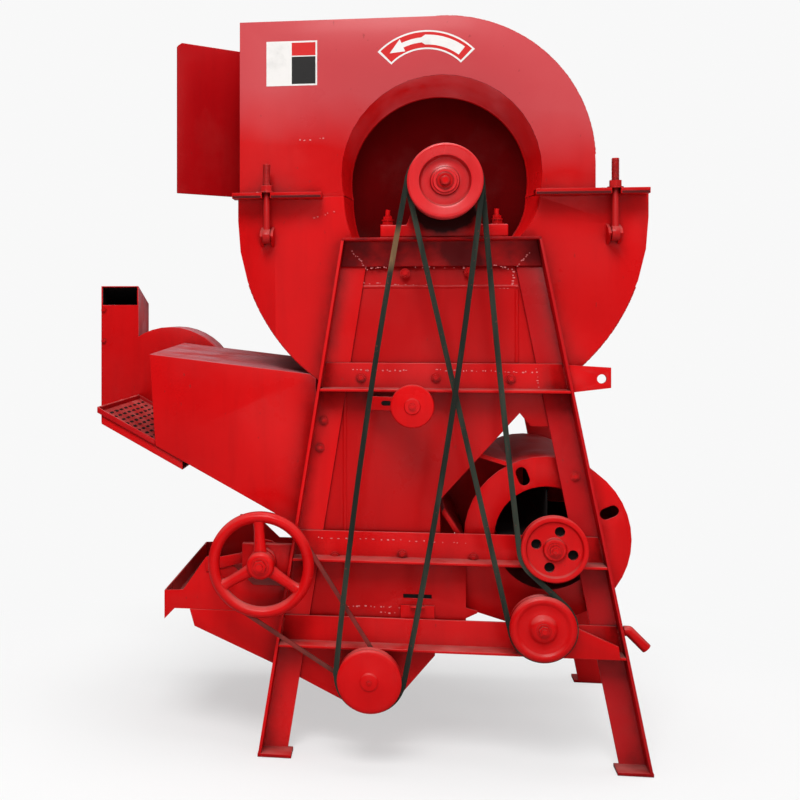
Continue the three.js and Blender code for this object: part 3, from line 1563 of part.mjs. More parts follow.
function addDrive(group) {
  const shaft = bar(SHAFT_RADIUS, SHAFT_FRONT, SHAFT_REAR, 0, 0, SMALL_STEPS);
  group.add(piece("drum_shaft", shaft, bareSteel, 0, 0, DRUM_Z));
  group.add(piece("drum_rotor", drumRotor(), deepPaint, 0, 0, DRUM_Z));
  group.add(piece("drum_pulley", drumPulley(), redPaint, 0, 0, DRUM_Z));
  group.add(piece("front_bearing", pillowBlock(-1), redPaint));
  const rearBlock = pillowBlock(1).translate([0, FRAME_DEPTH, 0]);
  group.add(piece("rear_bearing", rearBlock, redPaint));
  group.add(piece("fan_pulley", fanPulley(), redPaint, FAN_X, 0, FAN_Z));
  group.add(piece("tension_pulley", tensionPulley(), redPaint, TENSION_X, 0, TENSION_Z));
  group.add(piece("tension_arm", tensionArm(), redPaint));
  group.add(piece("tension_handle", tensionHandle(), redPaint, 0, -ANGLE / 2, 0));
  group.add(piece("idler_pulley", idlerPulley(), redPaint, IDLER_X, 0, IDLER_Z));
  group.add(piece("idler_arm", idlerArm(), redPaint));
  group.add(piece("auger_pulley", augerPulley(), redPaint, AUGER_X, 0, AUGER_Z));
  group.add(piece("crank_wheel", crankWheel(), redPaint, CRANK_X, 0, CRANK_Z));
  group.add(piece("main_belt", belt(MAIN_BELT, BELT_A_Y, BELT_WIDTH, BELT_THICK), rubber));
  group.add(piece("fan_belt", belt(FAN_BELT, BELT_B_Y, BELT_WIDTH, BELT_THICK), rubber));
  group.add(piece("crank_belt", belt(CRANK_BELT, BELT_C_Y, C_GROOVE, C_GROOVE), rubber));
}

// Swing bolts that clamp the cover's ears on the shell's ears

const BOLT_OVER = 57;
const BOLT_TOP = SPLIT_Z + BOLT_OVER;
const NUT_RADIUS = 11;
const NUT_HIGH = 11;
const WASHER_RADIUS = 14;
const WASHER_HIGH = 2.5;

function swingBolt() {
  const rod = new THREE.CylinderGeometry(ROD_RADIUS, ROD_RADIUS, BOLT_TOP - LUG_Z, SMALL_STEPS);
  const stand = new THREE.Matrix4().makeRotationX(Math.PI / 2);
  stand.setPosition(0, 0, (BOLT_TOP - LUG_Z) / 2);
  const ring = new THREE.CylinderGeometry(EYE_RADIUS, EYE_RADIUS, 2 * EYE_HALF, SMALL_STEPS);
  const lie = new THREE.Matrix4().makeRotationZ(Math.PI / 2);
  const hole = new THREE.CylinderGeometry(
    ROD_RADIUS + GAP,
    ROD_RADIUS + GAP,
    4 * EYE_HALF,
    SMALL_STEPS,
  );
  return cut(joined(solid(rod, stand), solid(ring, lie)), solid(hole, lie));
}

function swingNut() {
  const plain = new THREE.CylinderGeometry(NUT_RADIUS, NUT_RADIUS, NUT_HIGH, 6);
  const washer = new THREE.CylinderGeometry(
    WASHER_RADIUS,
    WASHER_RADIUS,
    WASHER_HIGH,
    SMALL_STEPS,
  );
  const hole = new THREE.CylinderGeometry(
    ROD_RADIUS + GAP,
    ROD_RADIUS + GAP,
    4 * NUT_HIGH,
    SMALL_STEPS,
  );
  const up = new THREE.Matrix4().makeRotationX(Math.PI / 2);
  const nutUp = up.clone().setPosition(0, 0, WASHER_HIGH + NUT_HIGH / 2);
  const washerUp = up.clone().setPosition(0, 0, WASHER_HIGH / 2);
  return cut(joined(solid(plain, nutUp), solid(washer, washerUp)), solid(hole, up));
}

function addSwingBolts(group) {
  const seat = SPLIT_Z + FLANGE;
  group.add(piece("swing_bolt_left", swingBolt(), bareSteel, LEFT_BOLT_X, BOLT_Y, LUG_Z));
  group.add(piece("swing_bolt_right", swingBolt(), bareSteel, RIGHT_BOLT_X, BOLT_Y, LUG_Z));
  group.add(piece("swing_nut_left", swingNut(), bareSteel, LEFT_BOLT_X, BOLT_Y, seat));
  group.add(piece("swing_nut_right", swingNut(), bareSteel, RIGHT_BOLT_X, BOLT_Y, seat));
}

// The origin lies on the floor under the middle of the machine's overall box
const MIDDLE_X = (SPOUT_LEFT + SHELL_X + SHELL_RADIUS) / 2;
const MIDDLE_Y = (SHAFT_FRONT + SHAFT_REAR) / 2;

const machine = new THREE.Group();
machine.position.set(-MIDDLE_X, -MIDDLE_Y, 0);
addFrame(machine);
addHousing(machine);
addPanels(machine);
addChute(machine);
addFan(machine);
addCleaning(machine);
addDrive(machine);
addSwingBolts(machine);

export default machine;
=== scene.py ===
"""Looks of a belt-driven threshing machine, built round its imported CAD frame."""

from __future__ import annotations
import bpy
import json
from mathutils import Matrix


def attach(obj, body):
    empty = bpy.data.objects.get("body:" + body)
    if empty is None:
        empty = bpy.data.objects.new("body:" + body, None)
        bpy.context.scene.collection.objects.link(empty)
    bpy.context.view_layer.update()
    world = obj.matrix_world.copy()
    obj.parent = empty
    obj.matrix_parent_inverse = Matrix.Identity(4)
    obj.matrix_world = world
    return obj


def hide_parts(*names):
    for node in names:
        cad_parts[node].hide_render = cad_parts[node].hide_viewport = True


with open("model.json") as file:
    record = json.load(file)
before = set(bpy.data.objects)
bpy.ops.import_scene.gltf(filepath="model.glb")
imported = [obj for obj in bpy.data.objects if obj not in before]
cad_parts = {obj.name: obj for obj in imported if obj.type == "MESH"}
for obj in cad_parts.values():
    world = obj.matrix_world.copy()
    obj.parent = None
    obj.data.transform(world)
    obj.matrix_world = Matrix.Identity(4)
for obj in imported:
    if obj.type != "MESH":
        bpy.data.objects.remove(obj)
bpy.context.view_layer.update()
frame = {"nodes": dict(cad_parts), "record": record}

import json
import logging
import math
import random
from dataclasses import dataclass, replace
from enum import Enum
from typing import Sequence, Union

import bmesh
import bpy
from mathutils import Vector

logging.basicConfig(level=logging.INFO, format="%(name)s: %(message)s")
LOG = logging.getLogger("thresher")

Point = tuple[float, float, float]
Flat = tuple[float, float]
Colour = tuple[float, float, float]
Socket = bpy.types.NodeSocket
Source = Union[bpy.types.Node, Socket, bpy.types.Material, float, str, tuple]

MM = 0.001
SHIFT = Vector((181.0, -240.0, 0.0))  # from the drum's axis to the row's origin, in mm
ROOT = "machine_frame"
SMOOTH_ANGLE = math.radians(34)  # edges sharper than this stay sharp in the shading
BEVEL_ANGLE = math.radians(32)  # edges sharper than this are rounded
FRONT_WAY: Point = (0.0, -1.0, 0.0)
REAR = 545.0  # the rear panel's plane
SPLIT_Z = 1003.0  # where the cover meets the lower shell
DRUM_Z = 1017.0


def at(x: float, y: float, z: float) -> Vector:
    """Turns machine coordinates into the row frame.

    Args:
        x, y, z: millimetres from the drum's axis, the front panel and the floor.

    Returns:
        The place in metres in the row frame.
    """
    return (Vector((x, y, z)) + SHIFT) * MM


class Slot(Enum):
    """Material slots of the record that pieces take their finish from."""

    RED = "red_paint"
    FADED = "faded_red_paint"
    DARK = "dark_red_paint"
    RUBBER = "belt_rubber"
    STEEL = "painted_steel"


@dataclass(frozen=True)
class Paint:
    """What one coat of paint looks like.

    Args:
        name: the material's name.
        colour: linear colour of clean paint.
        shade: linear colour where the coat is thin or dirty.
        dust_and_painted_light: linear colour of the layer on the faces that look its way: dust, and
            on some coats painted light and shade.
        rough: lowest and highest roughness.
        dusty_and_painted_light: how much of that layer lies on the faces that look its way.
        chips: share of the surface that is scraped.
        peel: strength of the orange peel.
        coat: weight of the clear coat.
        dust_film_and_sky_sheen: linear colour of a painted sky sheen on the upper part, if any.
        shine: the reflections' level.
        lies: the way that the faces with that layer look.
        pulley_shadow: x and z of the shaft that a painted pulley shadow surrounds, and how far it
            reaches, in metres, if any.
        corner_shade: how dark the painted shade in the corners is.
    """

    name: str
    colour: Colour
    shade: Colour
    dust_and_painted_light: Colour = (0.62, 0.30, 0.27)
    rough: Flat = (0.24, 0.46)
    dusty_and_painted_light: float = 0.35
    chips: float = 0.4
    peel: float = 0.12
    coat: float = 0.05
    dust_film_and_sky_sheen: Colour | None = None
    shine: float = 0.12
    lies: Point = (0.0, 0.0, 1.0)
    pulley_shadow: Point | None = None
    corner_shade: float = 1.0


RED = Paint("red_gloss", (0.550, 0.0030, 0.0040), (0.350, 0.0020, 0.0026))
# The cover's paint, with a painted sky sheen that grows paler towards the top.
SKY = Paint(
    "red_sky",
    (0.470, 0.0030, 0.0038),
    (0.350, 0.0022, 0.0028),
    dusty_and_painted_light=0.36,
    peel=0.16,
    dust_film_and_sky_sheen=(0.450, 0.054, 0.061),
)
INSIDE = Paint(
    "red_inside",
    (0.085, 0.0006, 0.0012),
    (0.045, 0.0004, 0.0008),
    dusty_and_painted_light=0.0,
    chips=0.0,
    coat=0.0,
    rough=(0.75, 0.9),
    shine=0.02,
)
THIN = Paint("red_thin", (0.420, 0.0060, 0.0070), (0.170, 0.0180, 0.0150), chips=0.9, peel=0.2)
PAINTS = {Slot.RED: RED, Slot.FADED: SKY, Slot.DARK: INSIDE, Slot.STEEL: THIN}

# Single pieces' coats, each the plain red with a few changes
COATS = (
    # The chute's and blower's coat: heavy pale pink on the faces that look up and right, dust and
    # painted sheen.
    replace(RED, name="dusty_and_painted_light", dusty_and_painted_light=1.5, dust_and_painted_light=(0.42, 0.135, 0.150), lies=(0.9, 0.0, 0.95)),
    # The pillow blocks' coat, with a painted shadow of the drum pulley, near black round the shaft.
    replace(
        RED, name="shadowed_bearing", pulley_shadow=(0.181, 1.000, 0.082), dusty_and_painted_light=0.9, dust_and_painted_light=(0.60, 0.16, 0.17)
    ),
    # The fan housing's coat: pale pink dust and painted sheen on the faces that look up and left.
    replace(RED, name="duct", dusty_and_painted_light=1.1, dust_and_painted_light=(0.60, 0.190, 0.200), lies=(-0.35, 0.0, 1.0)),
    # The throat's coat: a brighter red with little painted corner shade, and a pale painted
    # reflection on the faces that look down.
    replace(
        RED,
        name="collar",
        colour=(0.980, 0.0080, 0.0100),
        shade=(0.800, 0.0060, 0.0080),
        corner_shade=0.12,
        dusty_and_painted_light=0.9,
        dust_and_painted_light=(0.960, 0.130, 0.145),
        lies=(0.0, -0.35, -1.0),
    ),
    replace(RED, name="panel", colour=(0.450, 0.0028, 0.0036), shade=(0.300, 0.0018, 0.0024)),
    replace(RED, name="wheel", colour=(0.600, 0.0140, 0.0170), dusty_and_painted_light=0.5, shine=0.32),
    replace(RED, name="shaded", colour=(0.400, 0.0030, 0.0048), shade=(0.270, 0.0020, 0.0036)),
    # The top beam's coat: painted shadow under its flange, its front faces darkened nearly to
    # black.
    replace(RED, name="eaves_shadow", dusty_and_painted_light=1.5, dust_and_painted_light=(0.110, 0.0040, 0.0050), lies=FRONT_WAY),
)


@dataclass(frozen=True)
class Flatcoat:
    """The flat colour of a sticker, of the painted shade in a hole, or of a spot.

    Args:
        name: the material's name.
        colour: linear colour.
        rough: roughness.
    """

    name: str
    colour: Colour
    rough: float


FLATCOATS = (
    Flatcoat("overspray_fleck", (0.560, 0.150, 0.150), 0.5),
    Flatcoat("sticker_white", (0.68, 0.66, 0.64), 0.42),
    Flatcoat("sticker_black", (0.018, 0.017, 0.017), 0.45),
    Flatcoat("sticker_red", (0.52, 0.02, 0.02), 0.40),
    # Dark red brown for the strips of painted shade on the lower ears' front edges.
    Flatcoat("edge_shade", (0.075, 0.0040, 0.0045), 0.6),
    # Near black for painted shade: in holes and slots, behind the fan wheel's web, inside the fan
    # housing and the blower's spout.
    Flatcoat("shade_black", (0.006, 0.004, 0.004), 0.9),
)


@dataclass(frozen=True)
class Rubber:
    """A belt's rubber.

    Args:
        name: the material's name.
        tan: whether a stretch near the top carries a tan overspray.
        painted: whether red paint has been sprayed over it.
    """

    name: str
    tan: bool = False
    painted: bool = False


RUBBERS = (Rubber("belt_plain"), Rubber("belt_tan", tan=True), Rubber("belt_painted", painted=True))

# Nodes whose skin doesn't have its slot's paint
NODE_LOOKS = {
    "front_top_beam": "eaves_shadow",
    "front_leg_right": "shaded",
    "straw_deflector": "shaded",
    "perforated_tray": "shaded",
    "front_panel": "panel",
    "fan_housing": "duct",
    # The fan rotor is near black: painted shade inside its housing.
    "fan_rotor": "shade_black",
    "chaff_chute": "dusty_and_painted_light",
    "grain_blower": "dusty_and_painted_light",
    "front_bearing": "shadowed_bearing",
    "rear_bearing": "shadowed_bearing",
}


class NodeCanvas:
    """A node tree with short calls to add and link nodes.

    Args:
        tree: the tree to fill.
    """

    def __init__(self, tree: bpy.types.NodeTree) -> None:
        """Keeps the tree."""
        self.tree = tree

    def add(
        self, kind: str, inputs: dict[str | int, Source] | None = None, **values: object
    ) -> bpy.types.Node:
        """Adds a node.

        Args:
            kind: the node's type.
            inputs: what goes into its sockets, by name or index.
            values: its properties by name.

        Returns:
            The new node.
        """
        node = self.tree.nodes.new(kind)
        for key, value in values.items():
            setattr(node, key, value)
        for key, source in (inputs or {}).items():
            self.wire(source, node.inputs[key])
        return node

    def wire(self, source: Source, target: Socket) -> None:
        """Links a node or socket to an input, or sets the input to a value.

        Args:
            source: the node, socket or value.
            target: the input.
        """
        if isinstance(source, bpy.types.Node):
            source = source.outputs[0]
        if isinstance(source, bpy.types.NodeSocket):
            self.tree.links.new(source, target)
        else:
            target.default_value = source

    def math(self, kind: str, first: Source, second: Source) -> Socket:
        """A maths node's value."""
        return self.add("ShaderNodeMath", {0: first, 1: second}, operation=kind).outputs[0]

    def times(self, first: Source, second: Source) -> Socket:
        """The product of two values."""
        return self.math("MULTIPLY", first, second)


class PaintCanvas(NodeCanvas):
    """A new material's node tree, in object coordinates.

    Args:
        name: the material's name.
    """

    def __init__(self, name: str) -> None:
        """Makes the material and empties its tree."""
        self.material = bpy.data.materials.new(name)
        self.material.use_nodes = True
        super().__init__(self.material.node_tree)
        self.tree.nodes.clear()
        self.coords = self.add("ShaderNodeTexCoord").outputs["Object"]

    def stretched(self, scale: Point) -> Socket:
        """Object coordinates scaled unevenly, for streaks."""
        return self.add("ShaderNodeMapping", {"Vector": self.coords, "Scale": scale}).outputs[0]

    def noise(
        self,
        scale: float,
        detail: float = 4.0,
        rough: float = 0.55,
        vector: Socket | None = None,
    ) -> Socket:
        """A noise texture.

        Args:
            scale, detail, rough: the texture's own settings.
            vector: its coordinates, if not the plain ones.

        Returns:
            Its value, 0 to 1.
        """
        sockets = {
            "Vector": vector or self.coords,
            "Scale": scale,
            "Detail": detail,
            "Roughness": rough,
        }
        return self.add("ShaderNodeTexNoise", sockets).outputs["Fac"]

    def remap(
        self,
        value: Source,
        low: float,
        high: float,
        to_low: float = 0.0,
        to_high: float = 1.0,
    ) -> Socket:
        """Maps a range of a value onto another.

        Args:
            value: the value.
            low, high: the range that it comes from.
            to_low, to_high: the range that it goes to.

        Returns:
            The mapped value, clamped.
        """
        names = ("Value", "From Min", "From Max", "To Min", "To Max")
        sockets = dict(zip(names, (value, low, high, to_low, to_high)))
        return self.add("ShaderNodeMapRange", sockets, clamp=True).outputs["Result"]

    def blend(self, factor: Source, first: Source, second: Source) -> Socket:
        """Mixes two colours.

        Args:
            factor: the second one's share.
            first, second: sockets or linear colours.

        Returns:
            The mixed colour.
        """
        pair = [(*c, 1.0) if isinstance(c, tuple) else c for c in (first, second)]
        sockets = {0: factor, 6: pair[0], 7: pair[1]}
        return self.add("ShaderNodeMix", sockets, data_type="RGBA").outputs[2]

    def along(self, first: Source, second: Source) -> Socket:
        """The dot product of two vectors."""
        sockets = {0: first, 1: second}
        return self.add("ShaderNodeVectorMath", sockets, operation="DOT_PRODUCT").outputs["Value"]

    def length(self, vector: Source) -> Socket:
        """A vector's length."""
        return self.add("ShaderNodeVectorMath", {0: vector}, operation="LENGTH").outputs["Value"]

    @property
    def normal(self) -> Socket:
        """The face's own normal."""
        return self.add("ShaderNodeNewGeometry").outputs["Normal"]

    def corners(self, reach: float) -> Socket:
        """1 in open places and less in corners."""
        node = self.add("ShaderNodeAmbientOcclusion", {"Distance": reach}, samples=6)
        return node.outputs["AO"]

    def edges(self, radius: float) -> Socket:
        """1 on worn edges and 0 elsewhere."""
        bevel = self.add("ShaderNodeBevel", {"Radius": radius}, samples=4)
        return self.remap(self.along(bevel, self.normal), 0.97, 0.80)

    def bumps(self, layers: Sequence[tuple[Socket, float, float]]) -> Socket:
        """Bump nodes in a row.

        Args:
            layers: (height, strength, distance in metres) for each.

        Returns:
            The last one's normal.
        """
        normal = None
        for height, strength, distance in layers:
            sockets = {"Strength": strength, "Distance": distance, "Height": height}
            if normal is not None:
                sockets["Normal"] = normal
            normal = self.add("ShaderNodeBump", sockets).outputs["Normal"]
        return normal

    def surface(
        self,
        colour: Socket,
        rough: Source,
        normal: Socket,
        shine: float = 0.15,
        coat: float = 0.0,
    ) -> bpy.types.Material:
        """Ends the tree in a Principled surface.

        Args:
            colour, rough, normal: what goes into the shader.
            shine: the reflections' level.
            coat: weight of the clear coat.

        Returns:
            The material.
        """
        sockets = {
            "Base Color": colour,
            "Roughness": rough,
            "Coat Weight": coat,
            "Coat Roughness": 0.16,
            "Specular IOR Level": shine,
            "Normal": normal,
        }
        shader = self.add("ShaderNodeBsdfPrincipled", sockets)
        self.add("ShaderNodeOutputMaterial", {0: shader})
        return self.material


def paint_material(paint: Paint) -> bpy.types.Material:
    """Brushed and sprayed farm machine paint with dust, scrapes and painted shade in its corners.

    Args:
        paint: the coat's colours and wear.

    Returns:
        The procedural material.
    """
    c = PaintCanvas(paint.name)
    cloud = c.remap(c.noise(2.6, 5.0), 0.35, 0.68)
    streak = c.remap(c.noise(9.0, 3.0, vector=c.stretched((5.0, 5.0, 0.55))), 0.50, 0.78)
    fine = c.noise(38.0, 6.0, 0.62)
    around = c.math("SUBTRACT", fine, 0.5)
    colour = c.blend(c.times(cloud, 0.55), paint.colour, paint.shade)
    colour = c.blend(c.times(streak, 0.34), colour, paint.shade)
    # Painted sky sheen: more of its colour towards the top, by height.
    if paint.dust_film_and_sky_sheen:
        split = c.add("ShaderNodeSeparateXYZ", {0: c.coords}).outputs
        drift = c.times(c.math("SUBTRACT", c.noise(3.2, 3.0), 0.5), 0.20)
        tilted = c.math("ADD", split["Z"], c.times(split["X"], 0.148))
        level = c.remap(c.math("ADD", tilted, drift), 1.090, 1.185, 0.0, 0.92)
        colour = c.blend(level, colour, paint.dust_film_and_sky_sheen)
    # Painted shade: corners and recesses darkened by ambient occlusion, patchy by noise.
    corner_shade = c.remap(c.corners(0.055), 0.25, 0.85, 1.0, 0.0)
    corner_shade = c.times(corner_shade, c.remap(fine, 0.25, 0.70, 0.45 * paint.corner_shade, paint.corner_shade))
    colour = c.blend(corner_shade, colour, (0.024, 0.0014, 0.0014))
    # A layer on the faces that look the paint's way: dust, and on some coats painted light and
    # shade.
    lying = c.remap(c.along(c.normal, paint.lies), 0.25, 0.95)
    dust_and_painted_light = c.times(lying, c.remap(c.noise(14.0, 6.0), 0.30, 0.72))
    colour = c.blend(c.times(dust_and_painted_light, paint.dusty_and_painted_light), colour, paint.dust_and_painted_light)
    # Here the layer is only a random thin coat of dust.
    dust_film_and_sky_sheen = c.remap(c.noise(5.5, 8.0, 0.65), 0.55, 0.85, 0.0, 0.035)
    colour = c.blend(dust_film_and_sky_sheen, colour, paint.dust_and_painted_light)
    scrape = c.remap(c.noise(95.0, 3.0, 0.5, c.stretched((1.0, 1.0, 0.6))), 0.725, 0.75)
    worn = c.times(c.edges(0.0016), c.remap(fine, 0.50, 0.62))
    bare = c.times(c.math("MAXIMUM", scrape, worn), paint.chips)
    colour = c.blend(bare, colour, (0.130, 0.018, 0.016))
    # Painted shadow of a pulley: near black round its shaft, fading out at the reach.
    if paint.pulley_shadow:
        x, z, reach = paint.pulley_shadow
        sockets = {0: c.stretched((1.0, 0.0, 1.0)), 1: (x, 0.0, z)}
        away = c.length(c.add("ShaderNodeVectorMath", sockets, operation="SUBTRACT"))
        away = c.math("ADD", away, c.times(around, 0.02))
        black = c.remap(away, 0.8 * reach, reach, 0.97, 0.0)
        colour = c.blend(black, colour, (0.0040, 0.0012, 0.0012))
    rough = c.remap(c.noise(7.0, 6.0, 0.6), 0.3, 0.75, *paint.rough)
    rough = c.math("ADD", rough, c.times(c.math("MAXIMUM", dust_and_painted_light, bare), 0.30))
    sag = c.noise(22.0, 2.0, 0.4, c.stretched((1.0, 1.0, 0.30)))
    layers = [
        (c.noise(4.2, 2.0, 0.4), 0.22, 0.0040),
        (sag, paint.peel, 0.0012),
        (c.noise(330.0, 2.0), paint.peel, 0.00025),
        (c.math("SUBTRACT", 1.0, bare), 0.35, 0.0004),
    ]
    return c.surface(colour, rough, c.bumps(layers), paint.shine, paint.coat)


def rubber_material(rubber: Rubber) -> bpy.types.Material:
    """Worn belt rubber, grey green and dusted.

    Args:
        rubber: the belt's overspray.

    Returns:
        The procedural material.
    """
    c = PaintCanvas(rubber.name)
    streak = c.remap(c.noise(30.0, 5.0, 0.6, c.stretched((1.0, 1.0, 0.12))), 0.42, 0.70)
    colour = c.blend(streak, (0.009, 0.012, 0.009), (0.036, 0.042, 0.031))
    speck = c.remap(c.noise(240.0, 3.0), 0.66, 0.72)
    colour = c.blend(c.times(speck, 0.5), colour, (0.22, 0.03, 0.025))
    if rubber.painted:
        spray = c.remap(c.noise(16.0, 6.0, 0.7), 0.36, 0.66, 0.25, 0.95)
        colour = c.blend(spray, colour, (0.230, 0.022, 0.020))
    if rubber.tan:
        split = c.add("ShaderNodeSeparateXYZ", {0: c.coords}).outputs
        band = c.times(c.remap(split["Z"], 0.860, 0.885), c.remap(split["Z"], 0.945, 0.925))
        side = c.remap(split["X"], 0.135, 0.115)
        band = c.times(band, c.times(side, c.remap(streak, 0, 1, 0.35, 0.9)))
        colour = c.blend(band, colour, (0.36, 0.19, 0.085))
    rough = c.remap(streak, 0, 1, 0.72, 0.92)
    return c.surface(colour, rough, c.bumps([(c.noise(160.0, 4.0), 0.35, 0.0006)]))


def flat_material(flat: Flatcoat) -> bpy.types.Material:
    """A slightly dirty flat colour for stickers, and for the black painted shade in holes.

    Args:
        flat: its colour and roughness.

    Returns:
        The procedural material.
    """
    c = PaintCanvas(flat.name)
    dirt = c.remap(c.noise(30.0, 6.0, 0.62), 0.50, 0.76, 0.0, 0.30)
    tone = c.blend(dirt, flat.colour, tuple(0.45 * part for part in flat.colour))
    return c.surface(tone, flat.rough, c.bumps([(c.noise(200.0), 0.08, 0.0003)]))


class Palette:
    """Every material, built once."""

    def __init__(self) -> None:
        """Builds the slots' own materials, then those of single pieces."""
        self.of_slot = {slot: paint_material(paint) for slot, paint in PAINTS.items()}
        self.looks = {rubber.name: rubber_material(rubber) for rubber in RUBBERS}
        self.looks |= {coat.name: paint_material(coat) for coat in COATS}
        self.looks |= {flat.name: flat_material(flat) for flat in FLATCOATS}
        self.of_slot[Slot.RUBBER] = self.looks["belt_plain"]
        self.red, self.steel = self.of_slot[Slot.RED], self.of_slot[Slot.STEEL]

    def __getitem__(self, key: str) -> bpy.types.Material:
        """The material of a coat, a belt or a plain colour."""
        return self.looks[key]


class Sketch:
    """Collects faces in machine millimetres and makes a piece of them."""

    def __init__(self) -> None:
        """Starts with no faces."""
        self.bm = bmesh.new()

    def loft(self, rings: Sequence[Sequence[Point]], caps: bool = True) -> None:
        """Joins rings of points by quads.

        Args:
            rings: loops of the same length.
            caps: whether the first and last rings are filled.
        """
        rows = [[self.bm.verts.new(point) for point in ring] for ring in rings]
        count = len(rows[0])
        for one, two in zip(rows, rows[1:]):
            for i in range(count):
                j = (i + 1) % count
                self.bm.faces.new((one[i], one[j], two[j], two[i]))
        if caps:
            self.bm.faces.new(rows[0])
            self.bm.faces.new(list(reversed(rows[-1])))

    def lathe(self, profile: Sequence[Flat], x: float, z: float, steps: int) -> None:
        """Turns a closed profile about a line along Y.

        Args:
            profile: points of (radius, y).
            x, z: the line's place.
            steps: the number of sides.
        """
        rings = []
        for i in range(steps + 1):
            angle = 2 * math.pi * i / steps
            turn = (math.cos(angle), math.sin(angle))
            rings.append([(x + r * turn[0], y, z + r * turn[1]) for r, y in profile])
        self.loft(rings, caps=False)

    def prism(self, outline: Sequence[Flat], y0: float, y1: float) -> None:
        """Carries an outline of (x, z) along Y."""
        self.loft([[(x, y, z) for x, z in outline] for y in (y0, y1)])

    def tube(self, path: Sequence[Point], radius: float, sides: int) -> None:
        """A round bar along a path.

        Args:
            path: its middle line.
            radius: its radius.
            sides: its number of sides.
        """
        points = [Vector(point) for point in path]
        rings = []
        for i, point in enumerate(points):
            way = (points[min(i + 1, len(points) - 1)] - points[max(i - 1, 0)]).normalized()
            side = way.cross(Vector((0, 1, 0)))
            if side.length < 1e-4:
                side = way.cross(Vector((0, 0, 1)))
            side.normalize()
            over = side.cross(way)
            turns = (2 * math.pi * k / sides for k in range(sides))
            rings.append(
                [tuple(point + radius * (math.cos(a) * side + math.sin(a) * over)) for a in turns]
            )
        self.loft(rings)

    def box(self, low: Point, high: Point) -> None:
        """A box between two corners."""
        self.prism(block(low[0], high[0], low[2], high[2]), low[1], high[1])

    def piece(
        self, name: str, material: bpy.types.Material, soft: float = 0.0
    ) -> bpy.types.Object:
        """Makes the object, in the row frame, at the origin.

        Args:
            name: the object's name.
            material: what it is made of.
            soft: width of the rounded edges, in mm.

        Returns:
            The new object.
        """
        bm = self.bm
        bmesh.ops.remove_doubles(bm, verts=bm.verts, dist=0.01)
        bmesh.ops.recalc_face_normals(bm, faces=bm.faces)
        if soft:
            soften(bm, soft)
        for vertex in bm.verts:
            vertex.co = (vertex.co + SHIFT) * MM
        mesh = bpy.data.meshes.new(name)
        bm.to_mesh(mesh)
        bm.free()
        return finish_mesh(name, mesh, material)


def soften(bm: bmesh.types.BMesh, width: float) -> None:
    """Rounds the sharp edges.

    Args:
        bm: the mesh to change.
        width: how wide the rounding is, in the mesh's own unit.
    """
    edges = [
        edge
        for edge in bm.edges
        if len(edge.link_faces) == 2 and edge.calc_face_angle(0) > BEVEL_ANGLE
    ]
    bmesh.ops.bevel(
        bm,
        geom=edges,
        offset=width,
        offset_type="OFFSET",
        segments=2,
        profile=0.5,
        affect="EDGES",
        clamp_overlap=True,
    )


def shade(mesh: bpy.types.Mesh) -> None:
    """Shades a mesh smooth between its sharp edges."""
    mesh.polygons.foreach_set("use_smooth", [True] * len(mesh.polygons))
    mesh.set_sharp_from_angle(angle=SMOOTH_ANGLE)


def finish_mesh(
    name: str, mesh: bpy.types.Mesh, material: bpy.types.Material
) -> bpy.types.Object:
    """Gives a mesh its shading, its material and an object.

    Args:
        name: the object's name.
        mesh: the mesh.
        material: what it is made of.

    Returns:
        The new object.
    """
    mesh.materials.clear()
    mesh.materials.append(material)
    mesh.polygons.foreach_set("material_index", [0] * len(mesh.polygons))
    shade(mesh)
    thing = bpy.data.objects.new(name, mesh)
    bpy.context.scene.collection.objects.link(thing)
    return thing


def evaluated(thing: bpy.types.Object) -> bpy.types.Mesh:
    """Runs an object's modifiers.

    Args:
        thing: the object.

    Returns:
        A new mesh of what comes out.
    """
    graph = bpy.context.evaluated_depsgraph_get()
    graph.update()
    return bpy.data.meshes.new_from_object(thing.evaluated_get(graph), depsgraph=graph)


def cut_away(thing: bpy.types.Object, cutter: bpy.types.Object) -> None:
    """Cuts one object out of another and deletes the cutter.

    Args:
        thing: what is cut.
        cutter: what is taken out of it.
    """
    modifier = thing.modifiers.new("cut", "BOOLEAN")
    modifier.object = cutter
    modifier.operation = "DIFFERENCE"
    modifier.solver = "EXACT"
    mesh = evaluated(thing)
    thing.modifiers.remove(modifier)
    thing.data = mesh
    shade(mesh)
    bpy.data.objects.remove(cutter)


def arc(x: float, z: float, radius: float, start: float, end: float, steps: int) -> list[Flat]:
    """Points along an arc.

    Args:
        x, z: its centre.
        radius: its radius.
        start, end: its angles in degrees.
        steps: the number of its sides.

    Returns:
        Points of (x, z).
    """
    return [
        (x + radius * math.cos(a), z + radius * math.sin(a))
        for a in (math.radians(start + (end - start) * i / steps) for i in range(steps + 1))
    ]


def block(x0: float, x1: float, z0: float, z1: float) -> list[Flat]:
    """The corners of an upright rectangle."""
    return [(x0, z0), (x1, z0), (x1, z1), (x0, z1)]


